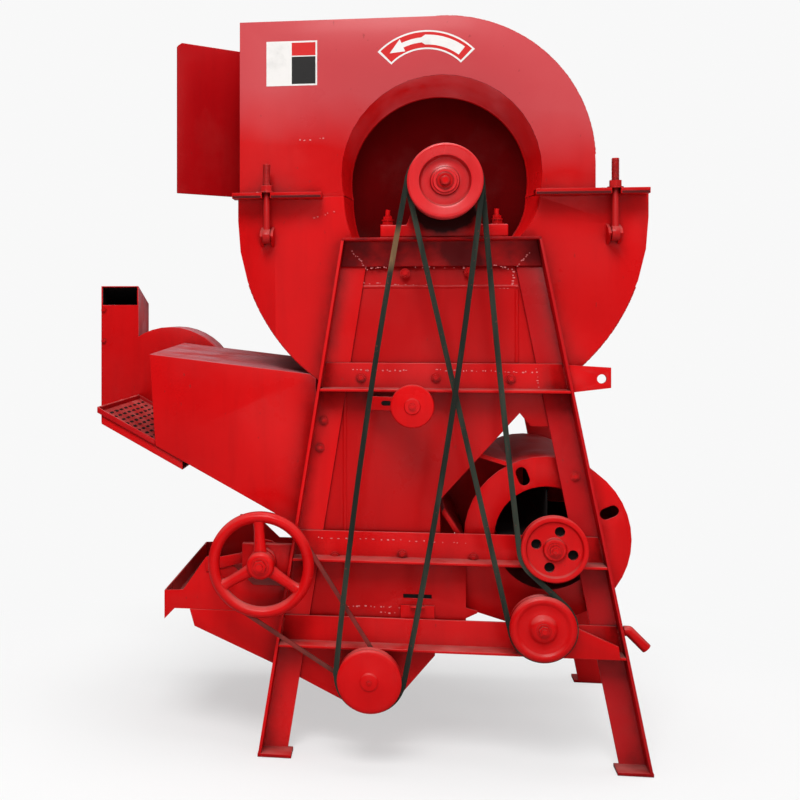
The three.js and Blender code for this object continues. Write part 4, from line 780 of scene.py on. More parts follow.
class Workshop:
    """Hands finished pieces to the frame and keeps the log.

    Args:
        palette: the materials.
    """

    def __init__(self, palette: Palette) -> None:
        """Reads each node's body and slot from the record."""
        self.palette = palette
        record = frame["record"]
        bodies = record["behaviour"]["bodies"]
        self.home = {node: body for body, nodes in bodies.items() for node in nodes}
        self.slots = {e["node"]: Slot(e["material_slot"]) for e in record["subparts"]}
        self.taken: set[str] = set()

    def place(
        self,
        thing: bpy.types.Object,
        body: str = ROOT,
        slot: Slot = Slot.RED,
        instead: Sequence[str] = (),
    ) -> bpy.types.Object:
        """Puts a piece on a body.

        Args:
            thing: the piece.
            body: the body that it moves with.
            slot: the record's material slot; not used.
            instead: CAD nodes that it stands for.

        Returns:
            The piece.
        """
        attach(thing, body)
        if instead:
            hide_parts(*instead)
            self.taken.update(instead)
        LOG.info("%s rides on %s, %d faces", thing.name, body, len(thing.data.polygons))
        return thing

    def skin(self, node: str, width: float) -> bpy.types.Object:
        """A copy of a CAD node with rounded edges, in its place.

        Args:
            node: the CAD node.
            width: how wide the rounding is, in mm.

        Returns:
            The new piece.
        """
        bm = bmesh.new()
        bm.from_mesh(frame["nodes"][node].data)
        bmesh.ops.remove_doubles(bm, verts=bm.verts, dist=2e-6)
        flat = math.radians(0.6)
        bmesh.ops.dissolve_limit(bm, angle_limit=flat, verts=bm.verts, edges=bm.edges)
        soften(bm, width * MM)
        bmesh.ops.triangulate(bm, faces=[f for f in bm.faces if len(f.verts) > 4])
        mesh = bpy.data.meshes.new(node + "_skin")
        bm.to_mesh(mesh)
        bm.free()
        slot = self.slots[node]
        look = NODE_LOOKS.get(node)
        material = self.palette[look] if look else self.palette.of_slot[slot]
        thing = finish_mesh(node + "_skin", mesh, material)
        return self.place(thing, self.home[node], slot, [node])

    def skins(self, width: float, *nodes: str) -> None:
        """Skins nodes with edges of one width."""
        for node in nodes:
            self.skin(node, width)


# Geometry Nodes


class TreeMaker(NodeCanvas):
    """A Geometry Nodes group with a Material and named numbers as inputs.

    Args:
        name: the group's name.
        numbers: the inputs' values, whole ones for integer sockets.
    """

    def __init__(self, name: str, **numbers: float) -> None:
        """Makes the group and its inputs."""
        super().__init__(bpy.data.node_groups.new(name, "GeometryNodeTree"))
        face = self.tree.interface
        face.new_socket("Points", in_out="INPUT", socket_type="NodeSocketGeometry")
        face.new_socket("Geometry", in_out="OUTPUT", socket_type="NodeSocketGeometry")
        socket = face.new_socket("Material", in_out="INPUT", socket_type="NodeSocketMaterial")
        self.sockets = {"Material": socket.identifier}
        for key, value in numbers.items():
            kind = "NodeSocketInt" if isinstance(value, int) else "NodeSocketFloat"
            socket = face.new_socket(key, in_out="INPUT", socket_type=kind)
            socket.default_value = value
            self.sockets[key] = socket.identifier
        self.source = self.add("NodeGroupInput").outputs

    def named(self, name: str, kind: str) -> Socket:
        """Reads an attribute of the points."""
        node = self.add("GeometryNodeInputNamedAttribute", {"Name": name}, data_type=kind)
        return node.outputs["Attribute"]

    def chance(self, low: float, high: float) -> Socket:
        """A random number for each point, fixed by the seed."""
        sockets = {2: low, 3: high, "Seed": self.source["Seed"]}
        return self.add("FunctionNodeRandomValue", sockets, data_type="FLOAT").outputs[1]

    def aim(self) -> bpy.types.Node:
        """The turn that takes Z to each point's way."""
        sockets = {"Vector": self.named("way", "FLOAT_VECTOR")}
        return self.add("FunctionNodeAlignRotationToVector", sockets, axis="Z")

    def cloud(self) -> bpy.types.Node:
        """The mesh's vertices as points."""
        return self.add("GeometryNodeMeshToPoints", {"Mesh": self.source["Points"]})

    def scatter(self, points: Source, thing: Source, rotation: Source, scale: Source) -> TreeMaker:
        """Ends the tree: things on points, made real, with the material.

        Args:
            points: where they stand.
            thing: what stands there.
            rotation, scale: each one's turn and size.

        Returns:
            The tree itself.
        """
        sockets = {"Points": points, "Instance": thing, "Rotation": rotation, "Scale": scale}
        real = self.add(
            "GeometryNodeRealizeInstances",
            {0: self.add("GeometryNodeInstanceOnPoints", sockets)},
        )
        sockets = {"Geometry": real, "Material": self.source["Material"]}
        self.add("NodeGroupOutput", {0: self.add("GeometryNodeSetMaterial", sockets)})
        return self


def bolt_tree() -> TreeMaker:
    """A hex head on a washer at each point, turned to its way, at random about it.

    Returns:
        The tree, with the inputs Material, Seed, Head and Height.
    """
    t = TreeMaker("hex_bolts", Seed=3, Head=0.0058, Height=0.0052)
    head, height = t.source["Head"], t.source["Height"]
    whole = t.add("GeometryNodeJoinGeometry")
    # the hexagon, the washer and the bolt's end: sides, width, height and lift
    for sides, wide, high, lift in (
        (6, 1.0, 1.0, 0.5),
        (28, 1.32, 0.26, 0.13),
        (20, 0.52, 1.5, 0.75),
    ):
        sockets = {"Radius": t.times(head, wide), "Depth": t.times(height, high)}
        sockets["Vertices"] = sides
        disc = t.add("GeometryNodeMeshCylinder", sockets, fill_type="NGON")
        spot = t.add("ShaderNodeCombineXYZ", {"Z": t.times(height, lift)})
        sockets = {"Geometry": disc.outputs["Mesh"], "Translation": spot}
        t.wire(t.add("GeometryNodeTransform", sockets), whole.inputs[0])
    spin = t.add("ShaderNodeCombineXYZ", {"Z": t.chance(0.0, 6.28)})
    sockets = {"Rotation": t.aim(), "Rotate By": spin}
    turn = t.add("FunctionNodeRotateRotation", sockets, rotation_space="LOCAL")
    return t.scatter(t.cloud(), whole, turn, t.named("size", "FLOAT"))


def weld_tree() -> TreeMaker:
    """A weld bead: overlapping scales along each edge of the points' lines.

    Returns:
        The tree, with the inputs Material, Seed, Step and Radius.
    """
    t = TreeMaker("weld_beads", Seed=5, Step=0.0021, Radius=0.0027)
    curve = t.add("GeometryNodeMeshToCurve", {"Mesh": t.source["Points"]})
    sockets = {"Curve": curve, "Length": t.source["Step"]}
    marks = t.add("GeometryNodeCurveToPoints", sockets, mode="LENGTH").outputs
    ball = t.add("GeometryNodeMeshIcoSphere", {"Subdivisions": 2, "Radius": t.source["Radius"]})
    sockets = {"Scale": (1.0, 1.0, 0.62), "Geometry": ball.outputs["Mesh"]}
    flat = t.add("GeometryNodeTransform", sockets)
    return t.scatter(marks["Points"], flat, marks["Rotation"], t.chance(0.72, 1.18))


def dimple_tree() -> TreeMaker:
    """A flat dark disc at each point, turned to its way: the painted shade of a hole.

    Returns:
        The tree, with the inputs Material, Seed and Radius.
    """
    t = TreeMaker("dimples", Seed=7, Radius=0.0022)
    sockets = {"Vertices": 14, "Depth": 0.0006, "Radius": t.source["Radius"]}
    disc = t.add("GeometryNodeMeshCylinder", sockets, fill_type="NGON")
    return t.scatter(t.cloud(), disc.outputs["Mesh"], t.aim(), t.chance(0.88, 1.10))


class Repeater:
    """Runs the trees on points and lines and bakes the result.

    Args:
        shop: places the pieces.
    """

    def __init__(self, shop: Workshop) -> None:
        """Builds the trees."""
        self.shop = shop
        self.bolts = bolt_tree()
        self.welds = weld_tree()
        self.holes = dimple_tree()

    def bake(
        self, name: str, mesh: bpy.types.Mesh, tree: TreeMaker, values: dict[str, object]
    ) -> bpy.types.Object:
        """Applies a tree to a mesh and makes a plain mesh of what comes out.

        Args:
            name: the new piece's name.
            mesh: the points or lines.
            tree: the tree to run.
            values: its inputs by name.

        Returns:
            The baked object.
        """
        seed = bpy.data.objects.new(name + "_seed", mesh)
        bpy.context.scene.collection.objects.link(seed)
        modifier = seed.modifiers.new("tree", "NODES")
        modifier.node_group = tree.tree
        for key, value in values.items():
            modifier[tree.sockets[key]] = value
        baked = evaluated(seed)
        seed.modifiers.remove(modifier)
        bpy.data.objects.remove(seed)
        return finish_mesh(name, baked, values["Material"])

    def points(self, name: str, spots: Sequence[tuple[Point, Point, float]]) -> bpy.types.Mesh:
        """Points that carry a way out and a size as attributes.

        Args:
            name: the piece's name.
            spots: (place in mm, way out, size) for each.

        Returns:
            The mesh of points.
        """
        mesh = bpy.data.meshes.new(name + "_points")
        mesh.from_pydata([at(*place) for place, _, _ in spots], [], [])
        mesh.attributes.new("way", "FLOAT_VECTOR", "POINT")
        mesh.attributes.new("size", "FLOAT", "POINT")
        for i, (_, way, size) in enumerate(spots):
            mesh.attributes["way"].data[i].vector = way
            mesh.attributes["size"].data[i].value = size
        return mesh

    def bolt(
        self, name: str, spots: Sequence[tuple[Point, Point, float]], seed: int, body: str = ROOT
    ) -> None:
        """Hex bolts at spots.

        Args:
            name: the piece's name.
            spots: (place in mm, way out, size) for each; size 1 is an M8 head.
            seed: fixes the random turn.
            body: the body that they ride on.
        """
        values = {"Material": self.shop.palette.red, "Seed": seed}
        self.shop.place(self.bake(name, self.points(name, spots), self.bolts, values), body)

    def dimples(self, name: str, places: Sequence[Point], way: Point, radius: float) -> None:
        """Dark discs on a sheet: the painted shade in its round holes.

        Args:
            name: the piece's name.
            places: their middles in mm.
            way: the sheet's normal.
            radius: of a hole, in mm.
        """
        mesh = self.points(name, [(place, way, 1.0) for place in places])
        values = {"Material": self.shop.palette["shade_black"], "Seed": 7, "Radius": radius * MM}
        self.shop.place(self.bake(name, mesh, self.holes, values), slot=Slot.DARK)

    def weld(
        self, name: str, lines: Sequence[tuple[Point, Point]], seed: int, radius: float
    ) -> None:
        """Weld beads along lines.

        Args:
            name: the piece's name.
            lines: pairs of ends in mm.
            seed: fixes the random sizes.
            radius: of one scale, in mm.
        """
        mesh = bpy.data.meshes.new(name + "_lines")
        pairs = [(2 * i, 2 * i + 1) for i in range(len(lines))]
        mesh.from_pydata([at(*end) for line in lines for end in line], pairs, [])
        values = {
            "Material": self.shop.palette.red,
            "Seed": seed,
            "Radius": radius * MM,
            "Step": 0.8 * radius * MM,
        }
        self.shop.place(self.bake(name, mesh, self.welds, values))


# Wheels and belts


@dataclass(frozen=True)
class Wheel:
    """A wheel on the belt side.

    Args:
        x, z: its centre, in mm.
        pitch: radius of the belt's middle line.
        sense: 1 inside the belt's loop, -1 outside it.
        squeeze: how much thinner a belt is half way round it.
    """

    x: float
    z: float
    pitch: float
    sense: int = 1
    squeeze: float = 0.0


DRUM = Wheel(0.0, DRUM_Z, 63.0, squeeze=3.9)
TENSION = Wheel(164.0, 256.0, 54.0)
FAN = Wheel(183.0, 391.0, 58.0, -1)
AUGER = Wheel(-128.0, 160.0, 58.0, squeeze=6.2)
AUGER_SMALL = Wheel(-128.0, 160.0, 28.0)
CRANK = Wheel(-318.0, 348.0, 88.0)
IDLER = Wheel(-55.0, 632.0, 33.0)


@dataclass(frozen=True)
class BeltSpec:
    """A V-belt round its wheels, anticlockwise as seen from the front.

    Args:
        node: the CAD node that it stands for.
        look: its rubber in the palette.
        wheels: the wheels in order.
        y: its middle plane.
        wide, thick: its section.
        bows: how far each strand hangs outwards.
    """

    node: str
    look: str
    wheels: tuple[Wheel, ...]
    y: float
    wide: float
    thick: float
    bows: tuple[float, ...]


BELTS = (
    BeltSpec("main_belt", "belt_tan", (DRUM, AUGER), -106.0, 11.0, 9.0, (10.0, 10.0)),
    BeltSpec("fan_belt", "belt_plain", (DRUM, TENSION, FAN), -86.0, 11.0, 9.0, (0.0, 0.0, -3.0)),
    BeltSpec("crank_belt", "belt_painted", (CRANK, AUGER_SMALL), -76.0, 7.0, 7.0, (0.0, 0.0)),
)
TURN_STEPS = 150  # belt points for a full turn
STRAND_STEPS = 24  # belt points for a strand


def belt_line(spec: BeltSpec, amount: float) -> list[Flat]:
    """The belt's path, moved outwards.

    Args:
        spec: the belt.
        amount: how far outwards, in mm.

    Returns:
        Points of (x, z); the same number whatever the amount.
    """
    wheels = spec.wheels
    nexts = wheels[1:] + wheels[:1]
    headings = []
    for wheel, after in zip(wheels, nexts):
        away = math.hypot(after.x - wheel.x, after.z - wheel.z)
        angle = math.atan2(after.z - wheel.z, after.x - wheel.x)
        wider = after.sense * after.pitch - wheel.sense * wheel.pitch
        headings.append(angle - math.asin(wider / away))
    points = []
    for i, (wheel, after) in enumerate(zip(wheels, nexts)):
        start = headings[i - 1]
        turn = headings[i] - start
        while wheel.sense * turn < 0:
            turn += wheel.sense * 2 * math.pi
        reach = wheel.sense * wheel.pitch + amount
        number = max(3, math.ceil(abs(turn) * TURN_STEPS / (2 * math.pi)))
        for k in range(number + 1):
            heading = start + turn * k / number
            thin = 0.0
            if amount > 0 < k < number:
                thin = wheel.squeeze * math.sqrt(math.sin(math.pi * k / number))
            out = reach - thin
            points.append((wheel.x + out * math.sin(heading), wheel.z - out * math.cos(heading)))
        there = after.sense * after.pitch + amount
        side, drop = math.sin(headings[i]), math.cos(headings[i])
        first = points[-1]
        last = (after.x + there * side, after.z - there * drop)
        for k in range(1, STRAND_STEPS):
            share = k / STRAND_STEPS
            out = 4 * spec.bows[i] * share * (1 - share)
            x = first[0] + (last[0] - first[0]) * share + out * side
            points.append((x, first[1] + (last[1] - first[1]) * share - out * drop))
    return points


@dataclass(frozen=True)
class GrooveSpec:
    """A V-groove in a rim.

    Args:
        y: its middle plane.
        floor: its floor's radius.
        half_top, half_floor: half of its width at the rim and at its floor.
    """

    y: float
    floor: float
    half_top: float = 6.3
    half_floor: float = 4.6


def rim(radius: float, grooves: Sequence[GrooveSpec], back: float, front: float) -> list[Flat]:
    """Profile of a grooved rim.

    Args:
        radius: its outer radius.
        grooves: its grooves, from the back.
        back, front: its edges.

    Returns:
        Points of (radius, y), from its back edge to its front edge.
    """
    points = [(radius - 1.4, back), (radius, back - 1.2)]
    for g in grooves:
        points += [
            (radius, g.y + g.half_top + 0.7),
            (radius - 0.8, g.y + g.half_top),
            (g.floor, g.y + g.half_floor),
            (g.floor, g.y - g.half_floor),
            (radius - 0.8, g.y - g.half_top),
            (radius, g.y - g.half_top - 0.7),
        ]
    return points + [(radius, front + 1.6), (radius - 1.6, front)]


# Profiles of (radius, y), from a wheel's back to its front
DRUM_PROFILE = [
    (15.3, -74.0),
    *rim(64.0, [GrooveSpec(-86.0, 58.2), GrooveSpec(-106.0, 58.2)], -74.0, -118.0),
    *((60.5, -118.6), (57.0, -117.6), (47.5, -117.2), (44.0, -116.0), (42.5, -108.0)),
    *((40.0, -105.4), (27.0, -104.4), (25.2, -105.4), (23.6, -110.5), (21.0, -111.4)),
    *((19.6, -114.4), (15.3, -114.4)),
]
TENSION_PROFILE = [
    (7.3, -74.0),
    *rim(56.0, [GrooveSpec(-86.0, 49.2)], -74.0, -98.0),
    *((54.0, -99.6), (51.5, -101.6), (48.0, -102.6), (45.0, -101.8), (42.5, -99.8)),
    *((40.0, -98.6), (33.0, -98.2), (26.0, -98.6), (23.5, -99.8), (21.5, -102.4)),
    *((18.6, -105.2), (14.0, -106.6), (4.0, -107.0), (4.0, -103.0), (7.3, -103.0)),
]
AUGER_PROFILE = [
    (12.3, -64.0),
    *rim(34.0, [GrooveSpec(-76.0, 24.2, 4.3, 3.2)], -64.0, -94.4),
    (34.0, -95.0),
    *rim(55.0, [GrooveSpec(-106.0, 53.2)], -95.0, -118.0),
    *((50.0, -119.4), (45.0, -120.0), (17.0, -120.2), (15.6, -120.8), (14.4, -122.6)),
    *((13.0, -123.2), (4.0, -123.5), (4.0, -117.6), (12.3, -117.6)),
]
IDLER_PROFILE = [
    *((7.3, -94.0), (35.8, -94.0), (37.0, -95.2), (37.0, -109.8), (35.6, -111.8)),
    *((32.0, -112.8), (16.0, -113.4), (14.0, -114.0), (12.6, -116.4), (7.3, -116.6)),
]
FAN_PROFILE = [
    *((12.3, -74.0), (22.0, -74.0), (24.0, -76.0), (25.0, -82.0), (42.0, -82.0)),
    *((44.0, -80.0), (44.4, -74.6)),
    *rim(56.0, [GrooveSpec(-86.0, 53.2)], -74.0, -98.0),
    *((51.0, -98.4), (48.2, -97.4), (45.6, -93.0), (43.0, -92.0), (21.0, -92.0)),
    *((19.6, -93.0), (18.4, -99.0), (17.0, -100.2), (12.3, -100.2)),
]
HUB_PROFILE = [
    *((12.3, -65.0), (22.0, -65.0), (24.0, -67.0), (24.0, -90.0)),
    *((22.4, -93.5), (19.0, -95.6), (12.3, -96.0)),
]


@dataclass
class WheelDresser:
    """Fine wheels, their nuts and the belts.

    Args:
        shop: places the pieces.
        repeat: runs the Geometry Nodes trees.
        steps: sides of a turned wheel.
        web_hole: radius of a hole in the fan wheel's web and of the holes' circle.
        web_turn: angle of the first hole, in degrees.
        spoke_y: the crank wheel's middle plane.
        spoke_turn: angle of its first spoke and from one to the next, in degrees.
    """

    shop: Workshop
    repeat: Repeater
    steps: int = 120
    web_hole: Flat = (8.6, 31.5)
    web_turn: float = -16.0
    spoke_y: float = -76.0
    spoke_turn: Flat = (93.0, 117.0)

    def build(self) -> None:
        """Makes every wheel and belt."""
        palette = self.shop.palette
        self.turned("drum_pulley", DRUM, DRUM_PROFILE, palette["wheel"], "drum")
        self.fan_wheel()
        self.turned("tension_pulley", TENSION, TENSION_PROFILE, palette.red, "tension_wheel")
        self.turned("auger_pulley", AUGER, AUGER_PROFILE, palette.red, "auger")
        self.turned("idler_pulley", IDLER, IDLER_PROFILE, palette.red, "idler_wheel")
        self.crank_wheel()
        self.shaft()
        self.belts()
        self.nuts()

    def turned(
        self,
        node: str,
        wheel: Wheel,
        profile: Sequence[Flat],
        material: bpy.types.Material,
        body: str,
    ) -> None:
        """A turned wheel in place of a node.

        Args:
            node: the CAD node.
            wheel: where it stands.
            profile: its section.
            material: its paint.
            body: the body that it rides on.
        """
        sketch = Sketch()
        sketch.lathe(profile, wheel.x, wheel.z, self.steps)
        self.shop.place(sketch.piece(node + "_fine", material), body, instead=[node])

    def shaft(self) -> None:
        """The drum's shaft with turned down ends."""
        sketch = Sketch()
        for radius, near, far in (
            (15.0, -114.6, 600.0),
            (7.6, -126.6, -114.6),
            (13.6, 600.0, 606.8),
        ):
            sketch.tube([(DRUM.x, near, DRUM.z), (DRUM.x, far, DRUM.z)], radius, 48)
        shaft = sketch.piece("drum_shaft_fine", self.shop.palette.steel, 0.7)
        self.shop.place(shaft, "drum", Slot.STEEL, ["drum_shaft"])

    def fan_wheel(self) -> None:
        """A dished wheel with four round holes in its web, dark behind."""
        palette = self.shop.palette
        sketch = Sketch()
        sketch.lathe(FAN_PROFILE, FAN.x, FAN.z, self.steps)
        wheel = sketch.piece("fan_pulley_fine", palette.red)
        drill = Sketch()
        radius, reach = self.web_hole
        for i in range(4):
            angle = math.radians(90 * i + self.web_turn)
            spot = (FAN.x + reach * math.cos(angle), FAN.z + reach * math.sin(angle))
            drill.prism(arc(*spot, radius, 0, 360 - 360 / 32, 31), -120.0, -60.0)
        cut_away(wheel, drill.piece("drill", palette.red))
        self.shop.place(wheel, "fan", instead=["fan_pulley"])
        # A black ring behind the web's holes: painted shade seen through them.
        back = Sketch()
        ring = [(24.5, -81.9), (43.0, -81.9), (43.0, -81.2), (24.5, -81.2)]
        back.lathe(ring, FAN.x, FAN.z, 64)
        self.shop.place(back.piece("fan_pulley_back", palette["shade_black"]), "fan", Slot.DARK)

    def crank_wheel(self) -> None:
        """A round rimmed wheel with three oval spokes."""
        red = self.shop.palette.red

        def lip(turns: Sequence[float]) -> list[Flat]:
            """Points of the rim's rounded section at angles in degrees."""
            angles = [math.radians(turn) for turn in turns]
            return [(84.0 + 9.8 * math.cos(a), self.spoke_y + 12.0 * math.sin(a)) for a in angles]

        sketch = Sketch()
        profile = [(76.0, -66.5), *lip((60, 48, 36))]
        profile += [(93.6, -71.6), (84.2, -73.2), (84.2, -78.8), (93.6, -80.4)]
        profile += [*lip(range(-30, -151, -20)), (74.2, -80.0), (74.2, -72.0)]
        sketch.lathe(profile, CRANK.x, CRANK.z, 132)
        self.shop.place(sketch.piece("crank_wheel_fine", red), "crank", instead=["crank_wheel"])
        arms = Sketch()
        first, apart = self.spoke_turn
        for k in range(3):
            angle = math.radians(first + apart * k)
            along = Vector((math.cos(angle), 0, math.sin(angle)))
            over = Vector((-math.sin(angle), 0, math.cos(angle)))
            rings = []
            for reach, half, deep in (
                *((14, 12.5, 10.0), (24, 11.4, 9.4), (34, 10.4, 8.8)),
                *((58, 9.2, 7.8), (70, 9.8, 8.0), (77, 12.5, 9.0)),
            ):
                centre = Vector((CRANK.x, self.spoke_y, CRANK.z)) + reach * along
                ring = []
                for a in (2 * math.pi * i / 20 for i in range(20)):
                    swing = Vector((0, deep * math.sin(a), 0))
                    ring.append(tuple(centre + half * math.cos(a) * over + swing))
                rings.append(ring)
            arms.loft(rings)
        arms.lathe(HUB_PROFILE, CRANK.x, CRANK.z, 64)
        self.shop.place(arms.piece("crank_wheel_spokes", red), "crank")

    def belts(self) -> None:
        """V-belts in place of the plain ones."""
        for spec in BELTS:
            sketch = Sketch()
            half = spec.wide / 2
            outer = belt_line(spec, spec.thick / 2)
            waist = belt_line(spec, spec.thick / 2 - 2.0)
            inner = belt_line(spec, -spec.thick / 2)
            rings = []
            for a, b, c in zip(outer, waist, inner):
                section = (
                    *((a, 0.4 - half), (a, half - 0.4), (b, half)),
                    *((c, half * 0.68), (c, -half * 0.68), (b, -half)),
                )
                rings.append([(x, spec.y + y, z) for (x, z), y in section])
            sketch.loft([*rings, rings[0]], caps=False)
            belt = sketch.piece(spec.node + "_fine", self.shop.palette[spec.look])
            self.shop.place(belt, slot=Slot.RUBBER, instead=[spec.node])

    def nuts(self) -> None:
        """Nuts and shaft ends in the wheels' middles."""
        nuts = (
            ("drum", DRUM, -114.0, 1.62),
            ("fan", FAN, -100.0, 1.6),
            ("auger", AUGER, -120.6, 0.8),
            ("crank", CRANK, -95.8, 2.0),
            ("tension_wheel", TENSION, -107.0, 1.5),
            ("idler_wheel", IDLER, -115.4, 0.95),
        )
        for i, (body, wheel, y, size) in enumerate(nuts):
            spots = [((wheel.x, y, wheel.z), FRONT_WAY, size)]
            self.repeat.bolt(f"{body}_nut", spots, 11 + i, body)


# Frame and housing


@dataclass
class FrameDresser:
    """Angle iron stand: rounded profiles, bolts and welds.

    Args:
        shop: places the pieces.
        repeat: runs the Geometry Nodes trees.
        left, right: each leg's outer edge on the floor and its lean, in mm per mm.
        web: the bars' outer face, behind the shelf's front edge.
        bars: lower edges of the three bars.
    """

    shop: Workshop
    repeat: Repeater
    left: Flat = (-327.0, 0.16108)
    right: Flat = (352.0, -0.20108)
    web: float = -10.0
    bars: Point = (653.0, 351.0, 197.0)

    def build(self) -> None:
        """Skins the stand's nodes and adds what is fixed to them."""
        self.shop.skins(
            1.3,
            *("front_leg_left", "front_leg_right", "rear_leg_left", "rear_leg_right"),
            *("front_top_beam", "rear_top_beam", "front_upper_bar", "front_middle_bar"),
            *("front_lower_bar", "rear_middle_bar", "rear_lower_bar", "hitch_lug"),
        )
        self.bolts()
        self.beads()

    def bolts(self) -> None:
        """Hex heads on the bars' webs and the legs."""
        webs = (
            *((-67, 863), (45, 865), (-145, 676), (-13, 677)),
            *((117, 676), (-191, 355), (-72, 362), (52, 360)),
        )
        legs = ((-211, 599), (-218, 550), (227, 506))
        rear = ((-180, 376), (180, 376), (-200, 222), (200, 222))
        spots = [((x, self.web, z), FRONT_WAY, 1.15) for x, z in webs]
        spots += [((x, -5, z), FRONT_WAY, 1.1) for x, z in legs]
        spots += [((x, REAR + 10, z), (0.0, 1.0, 0.0), 1.1) for x, z in rear]
        self.repeat.bolt("web_bolts", spots, 3)

    def beads(self) -> None:
        """Welds where bars meet the legs."""
        lines = []
        for low in self.bars:
            for side, (foot, lean) in ((-1, self.left), (1, self.right)):
                ends = [(foot + lean * z - side * 5, -9.6, z) for z in (low + 7, low + 43)]
                lines.append(tuple(ends))
        self.repeat.weld("bar_welds", lines, 21, 2.6)


@dataclass
class HousingDresser:
    """Threshing housing: shells, throat, deflector, seams and stickers.

    Args:
        shop: places the pieces.
        repeat: runs the Geometry Nodes trees.
        front: the front faces' plane.
        arrow: centre of the arrow's band.
        band: outer and inner radius of the band.
        spread: half of the band's angle, in degrees.
        sticker: left, right, low and high edges of the block sticker.
        throat_depth: the inner end's plane.
        high_hole: x, z and radius of the cover's round hole.
        high_deep: the same for the throat's inner end.
        low_hole: middle, half width and hang of the lower shell's half hole.
        low_deep: the same for the throat's inner end.
        shell_arc, cover_arc: x, z and radius of the seams.
        seam_top: the height where the lower shell's seams end.
        ears: left and right ends of the painted shade on the lower ears.
        ear_front: the ears' front faces.
        ear_edge: the painted shade's lower and upper edges.
    """

    shop: Workshop
    repeat: Repeater
    front: float = 3.0
    arrow: Flat = (-30.0, 1179.0)
    band: Flat = (119.0, 85.0)
    spread: float = 46.0
    sticker: tuple[float, float, float, float] = (-316.0, -224.0, 1205.0, 1286.0)
    throat_depth: float = 94.0
    high_hole: Point = (-4.0, 1042.0, 176.0)
    high_deep: Point = (-5.3, 1032.0, 160.0)
    low_hole: tuple[Flat, float, Flat] = ((-4.0, 1004.0), 171.9, (189.0, 126.0))
    low_deep: tuple[Flat, float, Flat] = ((-5.3, 1003.0), 157.4, (190.0, 130.0))
    shell_arc: Point = (-8, 960, 359.7)
    cover_arc: Point = (-2, 1058, 264.7)
    seam_top: float = 990.0
    ears: tuple[Flat, ...] = (
        *((-373.0, -322.0), (-304.0, -215.0)),
        *((158.0, 283.0), (301.0, 347.0)),
    )
    ear_front: float = -40.0
    ear_edge: Flat = (998.3, 1002.4)

    def build(self) -> None:
        """Skins the housing and adds seams, painted shade strips and stickers."""
        self.shop.skin("upper_cover", 1.1)
        cutter = Sketch()
        hole = [self.low_curve(*self.low_hole, 180 + 180 * i / 64) for i in range(65)]
        cutter.prism(hole, 1.0, 8.0)
        shell = self.shop.skin("lower_shell", 1.1)
        cut_away(shell, cutter.piece("low_hole_cutter", self.shop.palette["shade_black"]))
        self.shop.skin("straw_deflector", 1.1)
        self.throat()
        self.shop.skin("drum_rotor", 0.8)
        self.seams()
        self.ear_shade()
        self.rotation_band()
        self.block_sticker()

    def low_curve(self, middle: Flat, half: float, deep: Flat, angle: float) -> Flat:
        """A point of the lower half hole, which hangs deeper at its left.

        Args:
            middle: x and z of its middle.
            half: half of its width.
            deep: how far it hangs down at its left and right.
            angle: the point's angle in degrees, 180 to 360.

        Returns:
            The point's x and z.
        """
        side, fall = math.cos(math.radians(angle)), -math.sin(math.radians(angle))
        left, right = deep
        hang = left if side < 0 else right + (left - right) * fall**6
        return middle[0] + half * side, middle[1] - hang * fall

    def throat(self) -> None:
        """The air intake's tapered throat, half in the cover and half in the shell."""
        sheet, gap, steps = 3.0, 0.3, 72
        places = (
            (self.front + 1.6, sheet, False),
            (self.throat_depth, sheet, True),
            (self.throat_depth, 0.0, True),
            (self.front + 1.6, 0.0, False),
        )

        def above(angle: float, more: float, inside: bool) -> Flat:
            """A point of the cover's round hole.

            Args:
                angle: in degrees.
                more: how much wider the hole is taken.
                inside: whether it is the throat's inner end.

            Returns:
                The point's x and z.
            """
            x, z, radius = self.high_deep if inside else self.high_hole
            turn = math.radians(angle)
            reach = radius + more
            return x + reach * math.cos(turn), max(z + reach * math.sin(turn), SPLIT_Z + gap)

        def below(angle: float, more: float, inside: bool) -> Flat:
            """A point of the lower shell's half hole.

            Args:
                angle: in degrees.
                more: how much wider the hole is taken.
                inside: whether it is the throat's inner end.

            Returns:
                The point's x and z.
            """
            middle, half, hang = self.low_deep if inside else self.low_hole
            x, z = self.low_curve(middle, half + more, (hang[0] + more, hang[1] + more), angle)
            return x, min(z, SPLIT_Z - gap)

        lip = Sketch()
        for name, curve, start, end, taken in (
            ("intake_collar_skin", above, -11.7, 191.7, ("intake_collar",)),
            ("throat_low", below, 180.0, 360.0, ()),
        ):
            rings = []
            for i in range(steps + 1):
                angle = start + (end - start) * i / steps
                ring = []
                for y, more, inside in places:
                    x, z = curve(angle, more, inside)
                    ring.append((x, y, z))
                rings.append(ring)
            sketch = Sketch()
            sketch.loft(rings)
            self.shop.place(sketch.piece(name, self.shop.palette["collar"]), instead=taken)
            lip.tube([ring[2] for ring in rings], 1.3, 8)
        self.shop.place(lip.piece("throat_lip", self.shop.palette.red))

    def seams(self) -> None:
        """Weld beads where the front plates meet the shells' sheets."""
        lines = []
        for curve, start, end, steps in (
            (self.shell_arc, 199, 340, 60),
            (self.cover_arc, 3, 92, 44),
        ):
            points = arc(*curve, start, end, steps)
            for y in (4.6, REAR - 4.6):
                for one, two in zip(points, points[1:]):
                    if curve is self.cover_arc or (one[1] + two[1]) / 2 < self.seam_top:
                        lines.append(((one[0], y, one[1]), (two[0], y, two[1])))
        self.repeat.weld("housing_seams", lines, 8, 1.3)

